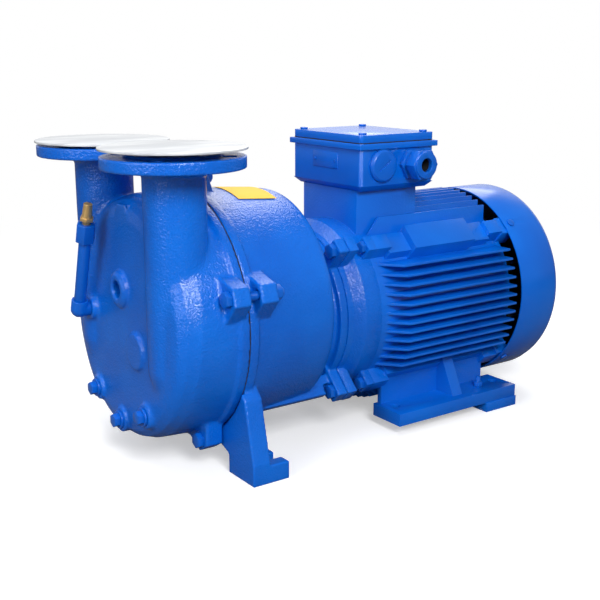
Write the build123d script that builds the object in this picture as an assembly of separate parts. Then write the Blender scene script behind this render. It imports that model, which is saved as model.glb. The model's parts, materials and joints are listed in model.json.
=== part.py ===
from build123d import *
import os
from math import cos, radians, sin, sqrt

# A close-coupled liquid ring vacuum pump: the impeller sits on the lengthened shaft of a
# totally enclosed fan-cooled foot motor. X runs from the pump's nose (-X) to the fan (+X),
# Z is up, and the origin is on the base plane below the shaft, midway along the length.

# Overall layout
shaft_height = 180.0
foot_hole_pitch_x = 210.0
foot_hole_pitch_y = 254.0
foot_hole_diameter = 15.0
flange_to_foot_centre = 194.0
eccentricity = 25.0

# Clearances and joints, and the straight steps that make each cast corner round
joint_gap = 0.3
running_fit = 0.05
gasket_thickness = 1.5
round_steps = 3
cut_overlap = 1.0

# Pump drum and its joint with the port cover
drum_radius = 177.0
drum_rear_radius = 163.0
drum_rim_width = 13.0
drum_rim_step = 3.5
bore_radius = 156.5
rear_wall_inner = 141.0
neck_radius = 112.0
flange_disc_radius = 122.0
flange_disc_thickness = 14.0
seal_housing_radius = 46.0

# Bolted lugs of the drum joint, as angles round the drum from the +Y side
lug_angles = [90.0, 17.0, 163.0, 239.0, 301.0]
lug_circle_radius = 187.0
lug_tip_margin = 13.0
lug_tip_width = 25.0
lug_root_width = 44.0
lug_length = 26.0
lug_gap = 15.0
cover_bolt_diameter = 12.0
cover_bolt_clearance = 1.0

# Pump feet
pump_foot_outer = 188.5
pump_foot_inner = 124.0
pump_foot_height = 25.0
pump_foot_front = 5.5
pump_foot_length = 57.5
pump_leg_length = 27.0
pump_leg_top = 115.0
pump_slot_centre = 159.0
pump_slot_width = 18.0
pump_slot_start = 14.0
rib_angle = 232.0
rib_thickness = 13.0
rib_reach = 9.0

# Port cover
cover_depth = 99.0
cover_front_tilt = 2.0
cover_nose_radius = 168.0
cover_shoulder = 26.0
cover_wall = 11.0
port_offset_x = 67.0
port_spacing = 212.0
port_top = 436.5
port_flange_diameter = 185.0
port_flange_thickness = 16.0
port_bore_diameter = 65.0
port_face_diameter = 122.0
port_face_height = 3.0
port_bolt_circle = 145.0
port_hole_diameter = 18.0
port_hole_count = 4
duct_radius = 41.0
duct_foot_height = 152.0
duct_flare = 9.0
chamber_web = 14.0
wedge_top = 364.0
wedge_foot = 285.0
wedge_top_width = 24.0
wedge_foot_width = 92.0

# Ports and bosses on the nose
service_hole_diameter = 24.1
service_hole_height = 248.0
service_collar_diameter = 42.0
service_boss_diameter = 51.0
service_stand_out = 7.0
service_depth = 26.0
service_passage_radius = 6.0
service_passage_wall = 14.0
blind_boss_diameter = 51.0
blind_boss_y = -48.0
blind_boss_height = 171.0
blind_boss_stand_out = 7.0
plug_circle_radius = 119.0
plug_spread = 39.0
plug_boss_diameter = 36.0
plug_boss_stand_out = 9.0
plug_diameter = 16.0
plug_across_flats = 17.0
plug_head_height = 8.0
plug_washer_diameter = 26.0
plug_washer_thickness = 3.0
plug_shank_length = 14.0

# Vent line with its silencer, on the far duct
vent_y = 89.0
vent_height = 205.0
vent_lean = 18.0
vent_boss_diameter = 34.0
vent_boss_stand_out = 10.0
elbow_radius = 12.5
elbow_stand_off = 26.5
elbow_reach = 15.0
pipe_radius = 8.5
pipe_length = 112.0
coupling_across_flats = 24.0
coupling_length = 27.0
silencer_radius = 7.0
silencer_tip_radius = 6.0
silencer_length = 20.0
silencer_hex = 17.0
silencer_hex_height = 5.0
silencer_neck = 5.0

# Port plate and impeller
port_plate_thickness = 8.0
port_plate_radius = 164.0
impeller_tip_gap = 0.5
impeller_hub_radius = 48.0
impeller_blades = 12
impeller_blade_thickness = 5.0
impeller_disc_thickness = 8.0
impeller_face_gap = 0.5
impeller_blade_sweep = 24.0

# Shaft and its seal
seal_shaft_radius = 20.0
impeller_seat_radius = 17.5
bearing_seat_radius = 22.5
rotor_seat_radius = 30.0
fan_seat_radius = 19.0
seal_ring_radius = 31.0
seal_ring_length = 12.0
seal_seat_radius = 34.0
seal_seat_length = 10.0
slinger_radius = 36.0
slinger_length = 6.0
key_width = 10.0
key_height = 8.0

# Deep groove ball bearings, the same at both ends
bearing_outer_radius = 50.0
bearing_width = 25.0
bearing_inner_land = 30.0
bearing_outer_land = 42.5

# Motor
shield_length = 53.0
shield_radius = 134.0
shield_front_radius = 122.0
shield_wall = 10.0
spigot_radius = 105.0
spigot_length = 5.0
flange_bolt_circle = 300.0
flange_bolt_diameter = 12.0
frame_length = 259.0
frame_radius = 134.0
frame_bore_radius = 124.0
fin_tip_radius = 161.0
fin_pitch = 14.0
fin_count = 12
fin_thickness = 3.4
fin_front_gap = 8.0
fin_ramp = 27.0
fin_rear_gap = 2.0
corner_bar_radius = 157.0
corner_bar_width = 34.0
frame_lug_length = 28.0
frame_lug_width = 24.0
frame_lug_radius = 158.0
shield_bolt_circle = 296.0
shield_bolt_diameter = 10.0
plate_pad_length = 124.0
plate_pad_width = 42.0
plate_pad_radius = 161.0
motor_foot_length = 248.0
motor_foot_front = 125.0
motor_foot_outer = 161.0
motor_foot_inner = 98.0
motor_foot_thickness = 19.5
motor_foot_lift = 15.5
foot_web_thickness = 20.0
spacer_length = 67.0
spacer_proud = 1.5
stator_length = 180.0
stator_bore_radius = 85.0
air_gap = 0.6
winding_length = 28.0
winding_depth = 26.0
rear_shield_length = 30.0
rear_shield_wall = 9.0
bearing_hub_radius = 58.0
drive_bearing_start = 17.0
fan_bearing_start = 19.0
stator_start = 46.0

# Terminal box
box_length = 142.0
box_width = 172.0
box_height = 62.0
box_base_height = 370.5
box_bevel = 8.5
box_start = 6.5
box_wall = 5.0
lid_thickness = 11.0
lid_gasket_thickness = 1.6
pedestal_length = 116.0
pedestal_width = 136.0
pedestal_start = 1.0
pedestal_wall = 8.0
box_corner_radius = 6.0
entry_diameter = 32.0
entry_drop = 2.0
plug_from_centre = 30.0
gland_from_centre = 27.0

# Cooling fan and its cover
fan_radius = 120.0
fan_hub_radius = 34.0
fan_blades = 8
fan_width = 42.0
fan_start = 33.0
fan_cover_radius = 160.0
fan_cover_wall = 2.0
fan_cover_start = 11.0
fan_cover_length = 90.0
fan_cover_edge = 14.0

# Lift-off port covers
port_disc_diameter = 189.0
port_disc_thickness = 3.0
port_disc_plug = 12.0
port_disc_lift = 5.1
port_mouth_diameter = 67.0
port_mouth_depth = 14.0

# Smaller sizes of the casing and cover
drum_rear_round = 12.0
chamber_wall = 10.0
casting_wall = 9.0
leg_cover_gap = 3.0
shaft_hole_margin = 3.0
seal_chamber_length = 34.0
seal_lip = 6.0
flange_ear_length = 18.0
chamber_radius = 152.0
elbow_thread = 10.0
bolt_clearance = 0.5
head_pocket_length = 13.0
head_pocket_radius = 13.0
plate_screw_circle = 157.0
plate_screw_radius = 4.0
plate_screw_depth = 12.0
plate_screw_angles = [55.0, 125.0, 200.0, 270.0, 340.0]

# Openings of the port plate and its discharge valve
kidney_radius = 82.0
kidney_width = 44.0
suction_start = 100.0
suction_end = 175.0
discharge_start = -40.0
discharge_end = -5.0
valve_circle = 84.0
valve_angles = [8.0, 20.0, 32.0]
valve_hole_radius = 6.5
flap_gap = 0.3
flap_thickness = 1.5
flap_travel = 2.5
flap_margin = 5.0
valve_stop_thickness = 2.0
valve_stop_margin = 6.0

# Smaller fasteners and shaft details
cover_bolt_flats = 19.0
cover_head_height = 8.0
cover_nut_height = 10.0
shield_bolt_flats = 16.0
shield_head_height = 7.0
frame_screw_depth = 22.0
shield_ear_length = 16.0
shield_rear_ear = 15.0
shield_spigot = 6.0
blade_bend = 0.22
blade_tip_setback = 1.0
key_clearance = 0.05
key_end_gap = 6.0
hub_recess = 17.0
hub_recess_radius = 27.0
washer_thickness = 5.0
washer_radius = 24.0
end_bolt_diameter = 12.0
end_bolt_flats = 19.0
end_bolt_head = 8.0
end_bolt_length = 34.0
seal_bellows_radius = 27.0
slinger_gap = 8.0
slinger_clearance = 8.0
cage_width = 17.0
end_ring_length = 12.0
end_ring_depth = 24.0
shaft_tail = 6.0
fan_disc_thickness = 4.0
fan_blade_thickness = 4.0
circlip_thickness = 2.0
wave_spring_thickness = 1.5
rear_hub_length = 12.0
rear_ear_width = 30.0
rear_bolt_radius = 142.0
cover_screw_diameter = 6.0
cover_screw_length = 12.0
cover_screw_head = 3.0
cover_screw_setback = 14.0
grille_slots = 24
grille_inner_radius = 52.0
grille_outer_radius = 128.0
grille_slot_width = 9.0
pipe_bore_radius = 6.0
coupling_overlap = 11.0
silencer_thread_radius = 5.5
silencer_thread_length = 9.0
disc_plug_clearance = 0.5

# Motor feet and terminal details
foot_web_wall = 9.0
foot_web_top = 72.0
foot_rib_offset = -3.0
plate_pad_start = 68.0
earth_offset = 66.0
earth_y = 132.0
lid_screw_inset = 12.0
lid_screw_diameter = 6.0
lid_screw_length = 18.0
lid_screw_head = 3.0
lid_boss_radius = 6.5
board_length = 52.0
board_width = 96.0
board_lift = 8.0
stud_height = 22.0
stud_diameter = 6.0
gland_hex = 42.0
gland_hex_height = 7.0
gland_neck_radius = 16.0
gland_neck_length = 20.0
gland_overlap = 12.0
gland_cap_flats = 42.0
gland_cap_length = 17.0
gland_cap_collar = 3.0
gland_wall = 3.0
gland_tail_reach = 6.0
gland_bore_radius = 10.5
blank_radius = 24.5
blank_height = 7.0
blank_chamfer = 3.5
blank_slot_width = 3.0
blank_slot_depth = 2.5
blank_slot_turn = 35.0
blank_tail_reach = 4.0
box_plate_rise = 22.0
box_plate_length = 62.0
box_plate_height = 24.0
box_plate_thickness = 1.2

# Stations along the shaft, worked out from the joint of cover and casing
drum_length = rear_wall_inner + chamber_wall
slinger_start = rear_wall_inner + seal_chamber_length + seal_lip + slinger_gap
casing_length = slinger_start + slinger_length + slinger_clearance
front_reach = port_offset_x + port_disc_diameter / 2
rear_reach = casing_length + shield_length + frame_length + fan_cover_start + fan_cover_length
seam_x = (front_reach - rear_reach) / 2
flange_x = seam_x + casing_length
foot_centre_x = flange_x + flange_to_foot_centre
cover_rear_x = seam_x - gasket_thickness / 2
casing_front_x = seam_x + gasket_thickness / 2
nose_x = seam_x - cover_depth
drum_rear_x = seam_x + drum_length
chamber_rear_x = seam_x + rear_wall_inner
frame_front_x = flange_x + shield_length
frame_rear_x = frame_front_x + frame_length
fan_cover_front_x = frame_rear_x + fan_cover_start
fan_cover_rear_x = fan_cover_front_x + fan_cover_length
drum_z = shaft_height + eccentricity
port_x = seam_x - port_offset_x
port_y = port_spacing / 2
plate_rear_x = cover_rear_x + port_plate_thickness
impeller_radius = bore_radius - eccentricity - impeller_tip_gap
impeller_front_x = plate_rear_x + impeller_face_gap
impeller_rear_x = chamber_rear_x - impeller_face_gap
flange_bolt_radius = flange_bolt_circle / 2
shield_bolt_radius = shield_bolt_circle / 2
motor_corner_angles = [45.0, 135.0, 225.0, 315.0]
plug_angles = [270.0, 270.0 - plug_spread, 270.0 + plug_spread]
cover_hole_radius = cover_bolt_diameter / 2 + cover_bolt_clearance / 2
plate_front_x = cover_rear_x
plug_face_x = nose_x - plug_boss_stand_out
vent_face_x = nose_x - vent_boss_stand_out
shaft_front_x = impeller_front_x + hub_recess
drive_bearing_x = flange_x + drive_bearing_start
fan_bearing_x = frame_rear_x - fan_bearing_start
seal_end_x = chamber_rear_x + seal_chamber_length
seal_ring_x = seal_end_x - seal_seat_length - running_fit - seal_ring_length
slinger_x = seam_x + slinger_start
stator_x = frame_front_x + stator_start
fan_x = frame_rear_x + fan_start
rear_ear_reach = sqrt((fan_cover_radius - fan_cover_wall - joint_gap) ** 2 - (rear_ear_width / 2) ** 2)
cover_screw_x = fan_cover_front_x + cover_screw_setback
shield_bolt_hole_radius = shield_bolt_diameter / 2 + bolt_clearance
box_x = frame_front_x - box_start
entry_height = box_base_height + box_height / 2 - entry_drop
gland_x = box_x + box_length / 2 + gland_from_centre
plug_x = box_x + box_length / 2 - plug_from_centre


def round_on(angle, radius, centre_z, x=0.0):
    """A point at an angle round a horizontal axis, counted from +Y."""
    return Pos(x, radius * cos(radians(angle)), centre_z + radius * sin(radians(angle)))


def turned(points, centre_z):
    """A solid turned round a horizontal axis from (x, radius) points."""
    outline = Polyline(*[(x, 0, centre_z + r) for x, r in points], close=True)
    return revolve(make_face(outline), Axis((0, 0, centre_z), (1, 0, 0)), 360)


def softened(x_face, radius, size, way):
    """A rounded outer edge in a few straight steps, from the side wall to the end face that looks way."""
    points = []
    for i in range(round_steps + 1):
        turn = radians(90 * i / round_steps)
        points.append((x_face - way * size * (1 - sin(turn)), radius - size * (1 - cos(turn))))
    return points


def ball(radius):
    """A ball in straight steps."""
    outline = [(0, 0, -radius)]
    for i in range(1, 2 * round_steps):
        turn = radians(90 * i / round_steps - 90)
        outline.append((radius * cos(turn), 0, radius * sin(turn)))
    outline.append((0, 0, radius))
    return revolve(make_face(Polyline(*outline, close=True)), Axis.Z, 360)


def rod(x_start, x_end, radius, y=0.0, z=shaft_height):
    """A cylinder along X between two stations."""
    return Pos((x_start + x_end) / 2, y, z) * Rot(0, 90, 0) * Cylinder(radius, abs(x_end - x_start))


def ring(x_start, x_end, outer, inner, z=shaft_height):
    """A plain ring along X between two stations."""
    return rod(x_start, x_end, outer, 0, z) - rod(x_start - 1, x_end + 1, inner, 0, z)


def post(x, y, z_low, z_high, radius):
    """A vertical cylinder."""
    return Pos(x, y, (z_low + z_high) / 2) * Cylinder(radius, z_high - z_low)


def block(x_range, y_range, z_range):
    """A box from its three ranges."""
    spans = [high - low for low, high in (x_range, y_range, z_range)]
    middle = [(high + low) / 2 for low, high in (x_range, y_range, z_range)]
    return Pos(*middle) * Box(*spans)


def hex_bar(across_flats, height):
    """A hexagonal prism standing on the XY plane."""
    return extrude(RegularPolygon(across_flats / sqrt(3), 6), height)


def hex_bolt(place, diameter, across_flats, head, shank):
    """A hexagon bolt. Its head stands out along +X of the place and its shank runs along -X."""
    lay = place * Rot(0, 90, 0)
    body = hex_bar(across_flats, head) + Pos(0, 0, -shank / 2) * Cylinder(diameter / 2, shank)
    return lay * body


def hex_nut(place, diameter, across_flats, height):
    """A plain nut, lying along +X of the place."""
    body = hex_bar(across_flats, height) - Cylinder(diameter / 2 + running_fit, 3 * height)
    return place * Rot(0, 90, 0) * body


def save(name, shape):
    """Writes one sub-part."""
    if isinstance(shape, (list, tuple)):
        shape = Compound(children=[s for item in shape for s in item.solids()])
    export_step(shape, f"parts/{name}.step")


def drum_lug(angle, x_start, x_end):
    """A bolt lug on the drum: wide at its root, narrower at its tip."""
    root = port_plate_radius + 6
    tip = lug_circle_radius + lug_tip_margin
    outline = Polyline(
        (0, root, -lug_root_width / 2),
        (0, root, lug_root_width / 2),
        (0, tip - lug_tip_margin, lug_tip_width / 2),
        (0, tip, lug_tip_width / 2),
        (0, tip, -lug_tip_width / 2),
        (0, tip - lug_tip_margin, -lug_tip_width / 2),
        close=True,
    )
    lug = extrude(make_face(outline), x_end - x_start, dir=(1, 0, 0))
    return Pos(x_start, 0, drum_z) * Rot(angle, 0, 0) * lug


def motor_lug(angle, x_start, x_end, reach, width, root):
    """A rectangular lug that stands out from the motor at one of its corners."""
    lug = block((x_start, x_end), (root, reach), (-width / 2, width / 2))
    return Pos(0, 0, shaft_height) * Rot(angle, 0, 0) * lug


def drum_solid():
    """The casing's outside: rim, tapered drum, rounded rear edge, neck and flange disc."""
    drum = turned(
        [
            (casing_front_x, 0),
            (casing_front_x, drum_radius),
            (casing_front_x + drum_rim_width, drum_radius),
            (casing_front_x + drum_rim_width, drum_radius - drum_rim_step),
            *softened(drum_rear_x, drum_rear_radius, drum_rear_round, 1),
            (drum_rear_x, 0),
        ],
        drum_z,
    )
    neck = turned(
        [
            (drum_rear_x - chamber_wall, 0),
            (drum_rear_x - chamber_wall, neck_radius),
            (flange_x - flange_disc_thickness, neck_radius),
            (flange_x - flange_disc_thickness, flange_disc_radius),
            (flange_x, flange_disc_radius),
            (flange_x, 0),
        ],
        shaft_height,
    )
    return drum + neck


def pump_foot(side):
    """One foot: a slotted pad, an upright leg and its slanted outer edge."""
    front = seam_x - pump_foot_front
    pad = block(
        (front, front + pump_foot_length),
        (pump_foot_inner, pump_foot_outer),
        (0, pump_foot_height),
    )
    slot_middle = front + pump_slot_start + pump_slot_width / 2
    slot_low = pump_slot_centre - pump_slot_width / 2
    slot = block(
        (slot_middle, front + pump_foot_length + 1),
        (slot_low, slot_low + pump_slot_width),
        (-1, pump_foot_height + 1),
    )
    slot += post(slot_middle, pump_slot_centre, -1, pump_foot_height + 1, pump_slot_width / 2)
    outline = Polyline(
        (front, pump_foot_outer, 0),
        (front, pump_foot_outer, pump_foot_height + 4),
        (front, drum_radius - 9, pump_leg_top),
        (front, drum_radius - 39, drum_z - 60),
        (front, 60, drum_z - drum_radius + 29),
        (front, pump_foot_inner - 29, drum_z - drum_radius + 10),
        (front, pump_foot_inner, pump_foot_height + 2),
        (front, pump_foot_inner, 0),
        close=True,
    )
    leg = extrude(make_face(outline), pump_leg_length, dir=(1, 0, 0))
    leg -= rod(front - 1, casing_front_x, drum_radius + leg_cover_gap, 0, drum_z)
    foot = (pad + leg) - slot
    return foot if side > 0 else mirror(foot, Plane.XZ)


def side_rib(angle):
    """The rib that runs back from a leg to the lower flange lug."""
    start = seam_x - pump_foot_front + pump_leg_length - 2
    rib = block(
        (start, flange_x - flange_disc_thickness / 2),
        (drum_rear_radius - 22, drum_rear_radius + rib_reach),
        (-rib_thickness / 2, rib_thickness / 2),
    )
    return Pos(0, 0, drum_z) * Rot(angle, 0, 0) * rib


def seal_chamber():
    """The spaces behind the impeller: seal bore, shaft hole, dry cavity and flange spigot."""
    seal_end = chamber_rear_x + seal_chamber_length
    space = rod(chamber_rear_x - 1, seal_end, seal_seat_radius)
    space += rod(chamber_rear_x - 1, flange_x + 1, seal_shaft_radius + shaft_hole_margin)
    cavity = ring(drum_rear_x + 2, flange_x + 1, spigot_radius - casting_wall, seal_housing_radius)
    space += cavity
    space += rod(seal_end + seal_lip, flange_x + 1, spigot_radius - casting_wall)
    space += rod(flange_x - spigot_length, flange_x + 1, spigot_radius + running_fit)
    return space


def pump_casing():
    """The casing: drum, neck, feet, bolt lugs, bores and seal chamber."""
    body = drum_solid()
    body += pump_foot(1)
    body += pump_foot(-1)
    body += side_rib(rib_angle)
    body += side_rib(540 - rib_angle)
    front = seam_x + lug_gap / 2
    for angle in lug_angles:
        body += drum_lug(angle, front, front + lug_length)
    reach = flange_bolt_radius + lug_tip_margin
    for angle in motor_corner_angles:
        body += motor_lug(angle, flange_x - flange_ear_length, flange_x, reach, frame_lug_width, neck_radius - 10)
    body -= rod(casing_front_x - 1, plate_rear_x + joint_gap, port_plate_radius + joint_gap, 0, drum_z)
    body -= rod(casing_front_x, chamber_rear_x, bore_radius, 0, drum_z)
    body -= seal_chamber()
    for angle in lug_angles:
        place = round_on(angle, lug_circle_radius, drum_z)
        body -= place * rod(seam_x - pump_foot_front - 1, front + lug_length + 1, cover_hole_radius, 0, 0)
    for angle in motor_corner_angles:
        place = round_on(angle, flange_bolt_radius, shaft_height)
        seat = flange_x - flange_ear_length
        body -= place * rod(seat - 1, flange_x + 1, flange_bolt_diameter / 2 + bolt_clearance, 0, 0)
        body -= place * rod(seat - head_pocket_length, seat, head_pocket_radius, 0, 0)
    return body


def nose_trim():
    """What lies in front of the cover's slightly tilted front face."""
    depth = 3 * drum_radius
    return Pos(nose_x, 0, drum_z) * Rot(0, cover_front_tilt, 0) * Pos(-depth / 2, 0, 0) * Box(depth, depth, depth)


def nose_round():
    """The space behind the tilted front face and inside its rounded edge."""
    edge = [(-x, r) for x, r in softened(0, cover_nose_radius, cover_shoulder, 1)]
    outline = [(0, 0), *reversed(edge), (3 * cover_shoulder, cover_nose_radius + cover_shoulder)]
    outline += [(3 * cover_shoulder, 2 * drum_radius), (2 * cover_depth, 2 * drum_radius), (2 * cover_depth, 0)]
    return Pos(nose_x, 0, drum_z) * Rot(0, cover_front_tilt, 0) * turned(outline, 0)


def cover_dome():
    """The cover's drum with its rim, taper and rounded front edge, and the ridge between the ducts."""
    front = nose_x - cover_wall
    dome = turned(
        [
            (cover_rear_x, 0),
            (cover_rear_x, drum_radius),
            (cover_rear_x - drum_rim_width, drum_radius),
            (cover_rear_x - drum_rim_width, drum_radius - drum_rim_step),
            (front, cover_nose_radius),
            (front, 0),
        ],
        drum_z,
    )
    dome &= nose_round()
    outline = Polyline(
        (front, -wedge_top_width / 2, wedge_top),
        (front, wedge_top_width / 2, wedge_top),
        (front, wedge_foot_width / 2, wedge_foot),
        (front, -wedge_foot_width / 2, wedge_foot),
        close=True,
    )
    wedge = extrude(make_face(outline), cover_wall + cover_shoulder + 14, dir=(1, 0, 0))
    return dome + (wedge - nose_trim())


def port_duct(side):
    """One duct: a round foot on the cover, the pipe, its flare, the flange and its raised face."""
    y = side * port_y
    under = port_top - port_flange_thickness
    duct = Pos(port_x, y, duct_foot_height) * ball(duct_radius)
    duct += post(port_x, y, duct_foot_height, under, duct_radius)
    flare = Cone(duct_radius, duct_radius + duct_flare, duct_flare)
    duct += Pos(port_x, y, under - duct_flare / 2) * flare
    duct += post(port_x, y, under, port_top, port_flange_diameter / 2)
    duct += post(port_x, y, port_top, port_top + port_face_height, port_face_diameter / 2)
    return duct


def port_holes(side):
    """The bolt holes through one flange."""
    circle = PolarLocations(port_bolt_circle / 2, port_hole_count, start_angle=180 / port_hole_count)
    holes = [spot * Cylinder(port_hole_diameter / 2, 4 * port_flange_thickness) for spot in circle]
    return [Pos(port_x, side * port_y, port_top) * hole for hole in holes]


def cover_chambers():
    """The suction and discharge chambers inside the cover, parted by an upright web."""
    front = nose_x + cover_wall
    space = turned(
        [
            (cover_rear_x + 1, 0),
            (cover_rear_x + 1, chamber_radius),
            (front + cover_shoulder, chamber_radius),
            (front + 5, chamber_radius - cover_shoulder),
            (front + 5, 0),
        ],
        drum_z,
    )
    space -= block((nose_x, seam_x + 1), (-chamber_web / 2, chamber_web / 2), (0, port_top))
    space -= rod(nose_x, nose_x + service_depth + cover_wall, service_boss_diameter / 2, 0, service_hole_height)
    space -= rod(nose_x, seam_x + 1, service_passage_wall, 0, service_hole_height)
    for angle in plug_angles:
        spot = round_on(angle, plug_circle_radius, shaft_height)
        space -= spot * rod(nose_x, nose_x + plug_shank_length + 8, plug_boss_diameter / 2, 0, 0)
    return space


def port_cover():
    """The port cover: drum, ducts with flanges, chambers, bosses and bolt lugs."""
    body = cover_dome()
    for side in (-1, 1):
        body += port_duct(side)
    rear = seam_x - lug_gap / 2
    for angle in lug_angles:
        body += drum_lug(angle, rear - lug_length, rear)
    service_front = nose_x - service_stand_out
    body += rod(service_front + 3, nose_x + cover_wall, service_boss_diameter / 2, 0, service_hole_height)
    body += rod(service_front, nose_x + cover_wall, service_collar_diameter / 2, 0, service_hole_height)
    blind_front = nose_x - blind_boss_stand_out
    body += rod(blind_front, nose_x + cover_wall, blind_boss_diameter / 2, blind_boss_y, blind_boss_height)
    for angle in plug_angles:
        spot = round_on(angle, plug_circle_radius, shaft_height)
        body += spot * rod(plug_face_x, nose_x + cover_wall, plug_boss_diameter / 2, 0, 0)
    body += rod(vent_face_x, nose_x + cover_wall, vent_boss_diameter / 2, vent_y, vent_height)
    body -= cover_chambers()
    for side in (-1, 1):
        body -= post(port_x, side * port_y, drum_z, port_top + port_face_height + 1, port_bore_diameter / 2)
        face = port_top + port_face_height
        body -= post(port_x, side * port_y, face - port_mouth_depth, face + 1, port_mouth_diameter / 2)
        body -= port_holes(side)
    body -= rod(service_front - 1, nose_x + service_depth, service_hole_diameter / 2, 0, service_hole_height)
    body -= rod(nose_x, seam_x + 1, service_passage_radius, 0, service_hole_height)
    for angle in plug_angles:
        spot = round_on(angle, plug_circle_radius, shaft_height)
        body -= spot * rod(plug_face_x - 1, plug_face_x + plug_shank_length, plug_diameter / 2 + running_fit, 0, 0)
    body -= rod(vent_face_x - 1, vent_face_x + elbow_thread, pipe_radius + running_fit, vent_y, vent_height)
    for angle in lug_angles:
        place = round_on(angle, lug_circle_radius, drum_z)
        body -= place * rod(rear - lug_length - 1, rear + 1, cover_hole_radius, 0, 0)
    for angle in plate_screw_angles:
        place = round_on(angle, plate_screw_circle, drum_z)
        body -= place * rod(cover_rear_x - plate_screw_depth, cover_rear_x + 1, plate_screw_radius, 0, 0)
    return body


def kidney(radius, width, start, end):
    """A kidney-shaped opening round the shaft, cut through the port plate."""
    outer = ring(plate_front_x - 1, plate_rear_x + 1, radius + width / 2, radius - width / 2)
    middle = radians((start + end) / 2)
    half = radians((end - start) / 2)
    reach = 3 * radius
    corner = (reach * cos(middle - half), reach * sin(middle - half))
    other = (reach * cos(middle + half), reach * sin(middle + half))
    outline = Polyline(
        (plate_front_x - 1, 0, shaft_height),
        (plate_front_x - 1, corner[0], shaft_height + corner[1]),
        (plate_front_x - 1, other[0], shaft_height + other[1]),
        close=True,
    )
    return outer & extrude(make_face(outline), port_plate_thickness + 2, dir=(1, 0, 0))


def port_plate():
    """The port plate that faces the impeller, with its suction and discharge kidneys."""
    plate = rod(plate_front_x, plate_rear_x, port_plate_radius, 0, drum_z)
    plate -= kidney(kidney_radius, kidney_width, suction_start, suction_end)
    plate -= kidney(kidney_radius, kidney_width - 8, discharge_start, discharge_end)
    for spot in valve_holes():
        plate -= spot * rod(plate_front_x - 1, plate_rear_x + 1, valve_hole_radius, 0, 0)
    plate -= rod(plate_front_x - 1, plate_rear_x + 1, service_passage_radius, 0, service_hole_height)
    for angle in plate_screw_angles:
        place = round_on(angle, plate_screw_circle, drum_z)
        plate -= place * rod(plate_front_x - 1, plate_rear_x + 1, plate_screw_radius + bolt_clearance, 0, 0)
    return plate


def valve_holes():
    """The places of the small discharge holes that the flap covers."""
    return [round_on(angle, valve_circle, shaft_height) for angle in valve_angles]


def valve_slab(x_start, x_end, margin):
    """An upright slab over the valve holes."""
    low = round_on(valve_angles[0], valve_circle, shaft_height).position
    high = round_on(valve_angles[-1], valve_circle, shaft_height).position
    reach = valve_hole_radius + margin
    y_range = (min(low.Y, high.Y) - reach, max(low.Y, high.Y) + reach)
    return block((x_start, x_end), y_range, (min(low.Z, high.Z) - reach, max(low.Z, high.Z) + reach))


def valve_flap():
    """The flexible flap that lets gas and liquid out of the working space."""
    rear = plate_front_x - flap_gap
    return valve_slab(rear - flap_thickness, rear, flap_margin)


def valve_stop():
    """The stop plate that holds the flap's travel, on two spacer feet at its ends."""
    rear = plate_front_x - flap_gap - flap_thickness - flap_travel - flap_gap
    slab = valve_slab(rear - valve_stop_thickness, rear, flap_margin + valve_stop_margin)
    box = slab.bounding_box()
    for z_low in (box.min.Z, box.max.Z - valve_stop_margin + 1):
        slab += block((rear, plate_front_x), (box.min.Y, box.max.Y), (z_low, z_low + valve_stop_margin - 1))
    return slab


def plate_screws():
    """Countersunk-style screws that hold the port plate to the cover."""
    screws = []
    for angle in plate_screw_angles:
        place = round_on(angle, plate_screw_circle, drum_z)
        shank_start = cover_rear_x - plate_screw_depth + 1
        screws.append(place * rod(shank_start, plate_rear_x - 1, plate_screw_radius - running_fit, 0, 0))
    return screws


def cover_gasket():
    """The flat gasket between the cover and the casing."""
    return ring(cover_rear_x, casing_front_x, drum_radius - 1, port_plate_radius + 1, drum_z)


def cover_bolts():
    """Hexagon bolts through the drum lugs."""
    head_x = seam_x - lug_gap / 2 - lug_length
    shank = 2 * lug_length + lug_gap + cover_nut_height + 4
    bolt = mirror(hex_bolt(Pos(0, 0, 0), cover_bolt_diameter, cover_bolt_flats, cover_head_height, shank), Plane.YZ)
    return [round_on(a, lug_circle_radius, drum_z, head_x) * bolt for a in lug_angles]


def cover_nuts():
    """Nuts on the cover bolts, behind the casing lugs."""
    nut_x = seam_x + lug_gap / 2 + lug_length
    nut = hex_nut(Pos(0, 0, 0), cover_bolt_diameter, cover_bolt_flats, cover_nut_height)
    return [round_on(a, lug_circle_radius, drum_z, nut_x) * nut for a in lug_angles]


def drain_plugs():
    """Hexagon plugs in the three lower bosses."""
    head_x = plug_face_x - plug_washer_thickness
    shank = plug_shank_length + plug_washer_thickness - 1
    plug = mirror(hex_bolt(Pos(0, 0, 0), plug_diameter, plug_across_flats, plug_head_height, shank), Plane.YZ)
    return [round_on(a, plug_circle_radius, shaft_height, head_x) * plug for a in plug_angles]


def drain_plug_washers():
    """Sealing washers under the plugs."""
    washer = rod(-plug_washer_thickness, 0, plug_washer_diameter / 2, 0, 0)
    washer -= rod(-plug_washer_thickness - 1, 1, plug_diameter / 2 + running_fit, 0, 0)
    return [round_on(a, plug_circle_radius, shaft_height, plug_face_x) * washer for a in plug_angles]


def vent_place():
    """The vent line's own axes: at the elbow's corner, with Z along the leaning pipe."""
    return Pos(vent_face_x - elbow_stand_off + elbow_radius, vent_y, vent_height) * Rot(vent_lean, 0, 0)


def vent_elbow():
    """The elbow that turns the vent line upwards."""
    run = elbow_stand_off - elbow_radius
    elbow = Pos(run / 2, 0, 0) * Rot(0, 90, 0) * Cylinder(elbow_radius - 1, run)
    elbow += Pos(0, 0, elbow_reach / 2) * Cylinder(elbow_radius - 0.5, elbow_reach)
    elbow += Rot(0, 45, 0) * ball(elbow_radius)
    elbow += Pos(run + elbow_thread / 2 - 1, 0, 0) * Rot(0, 90, 0) * Cylinder(pipe_radius, elbow_thread - 2)
    elbow -= Pos(0, 0, elbow_reach) * Cylinder(pipe_radius + running_fit, elbow_reach)
    return vent_place() * elbow


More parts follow.
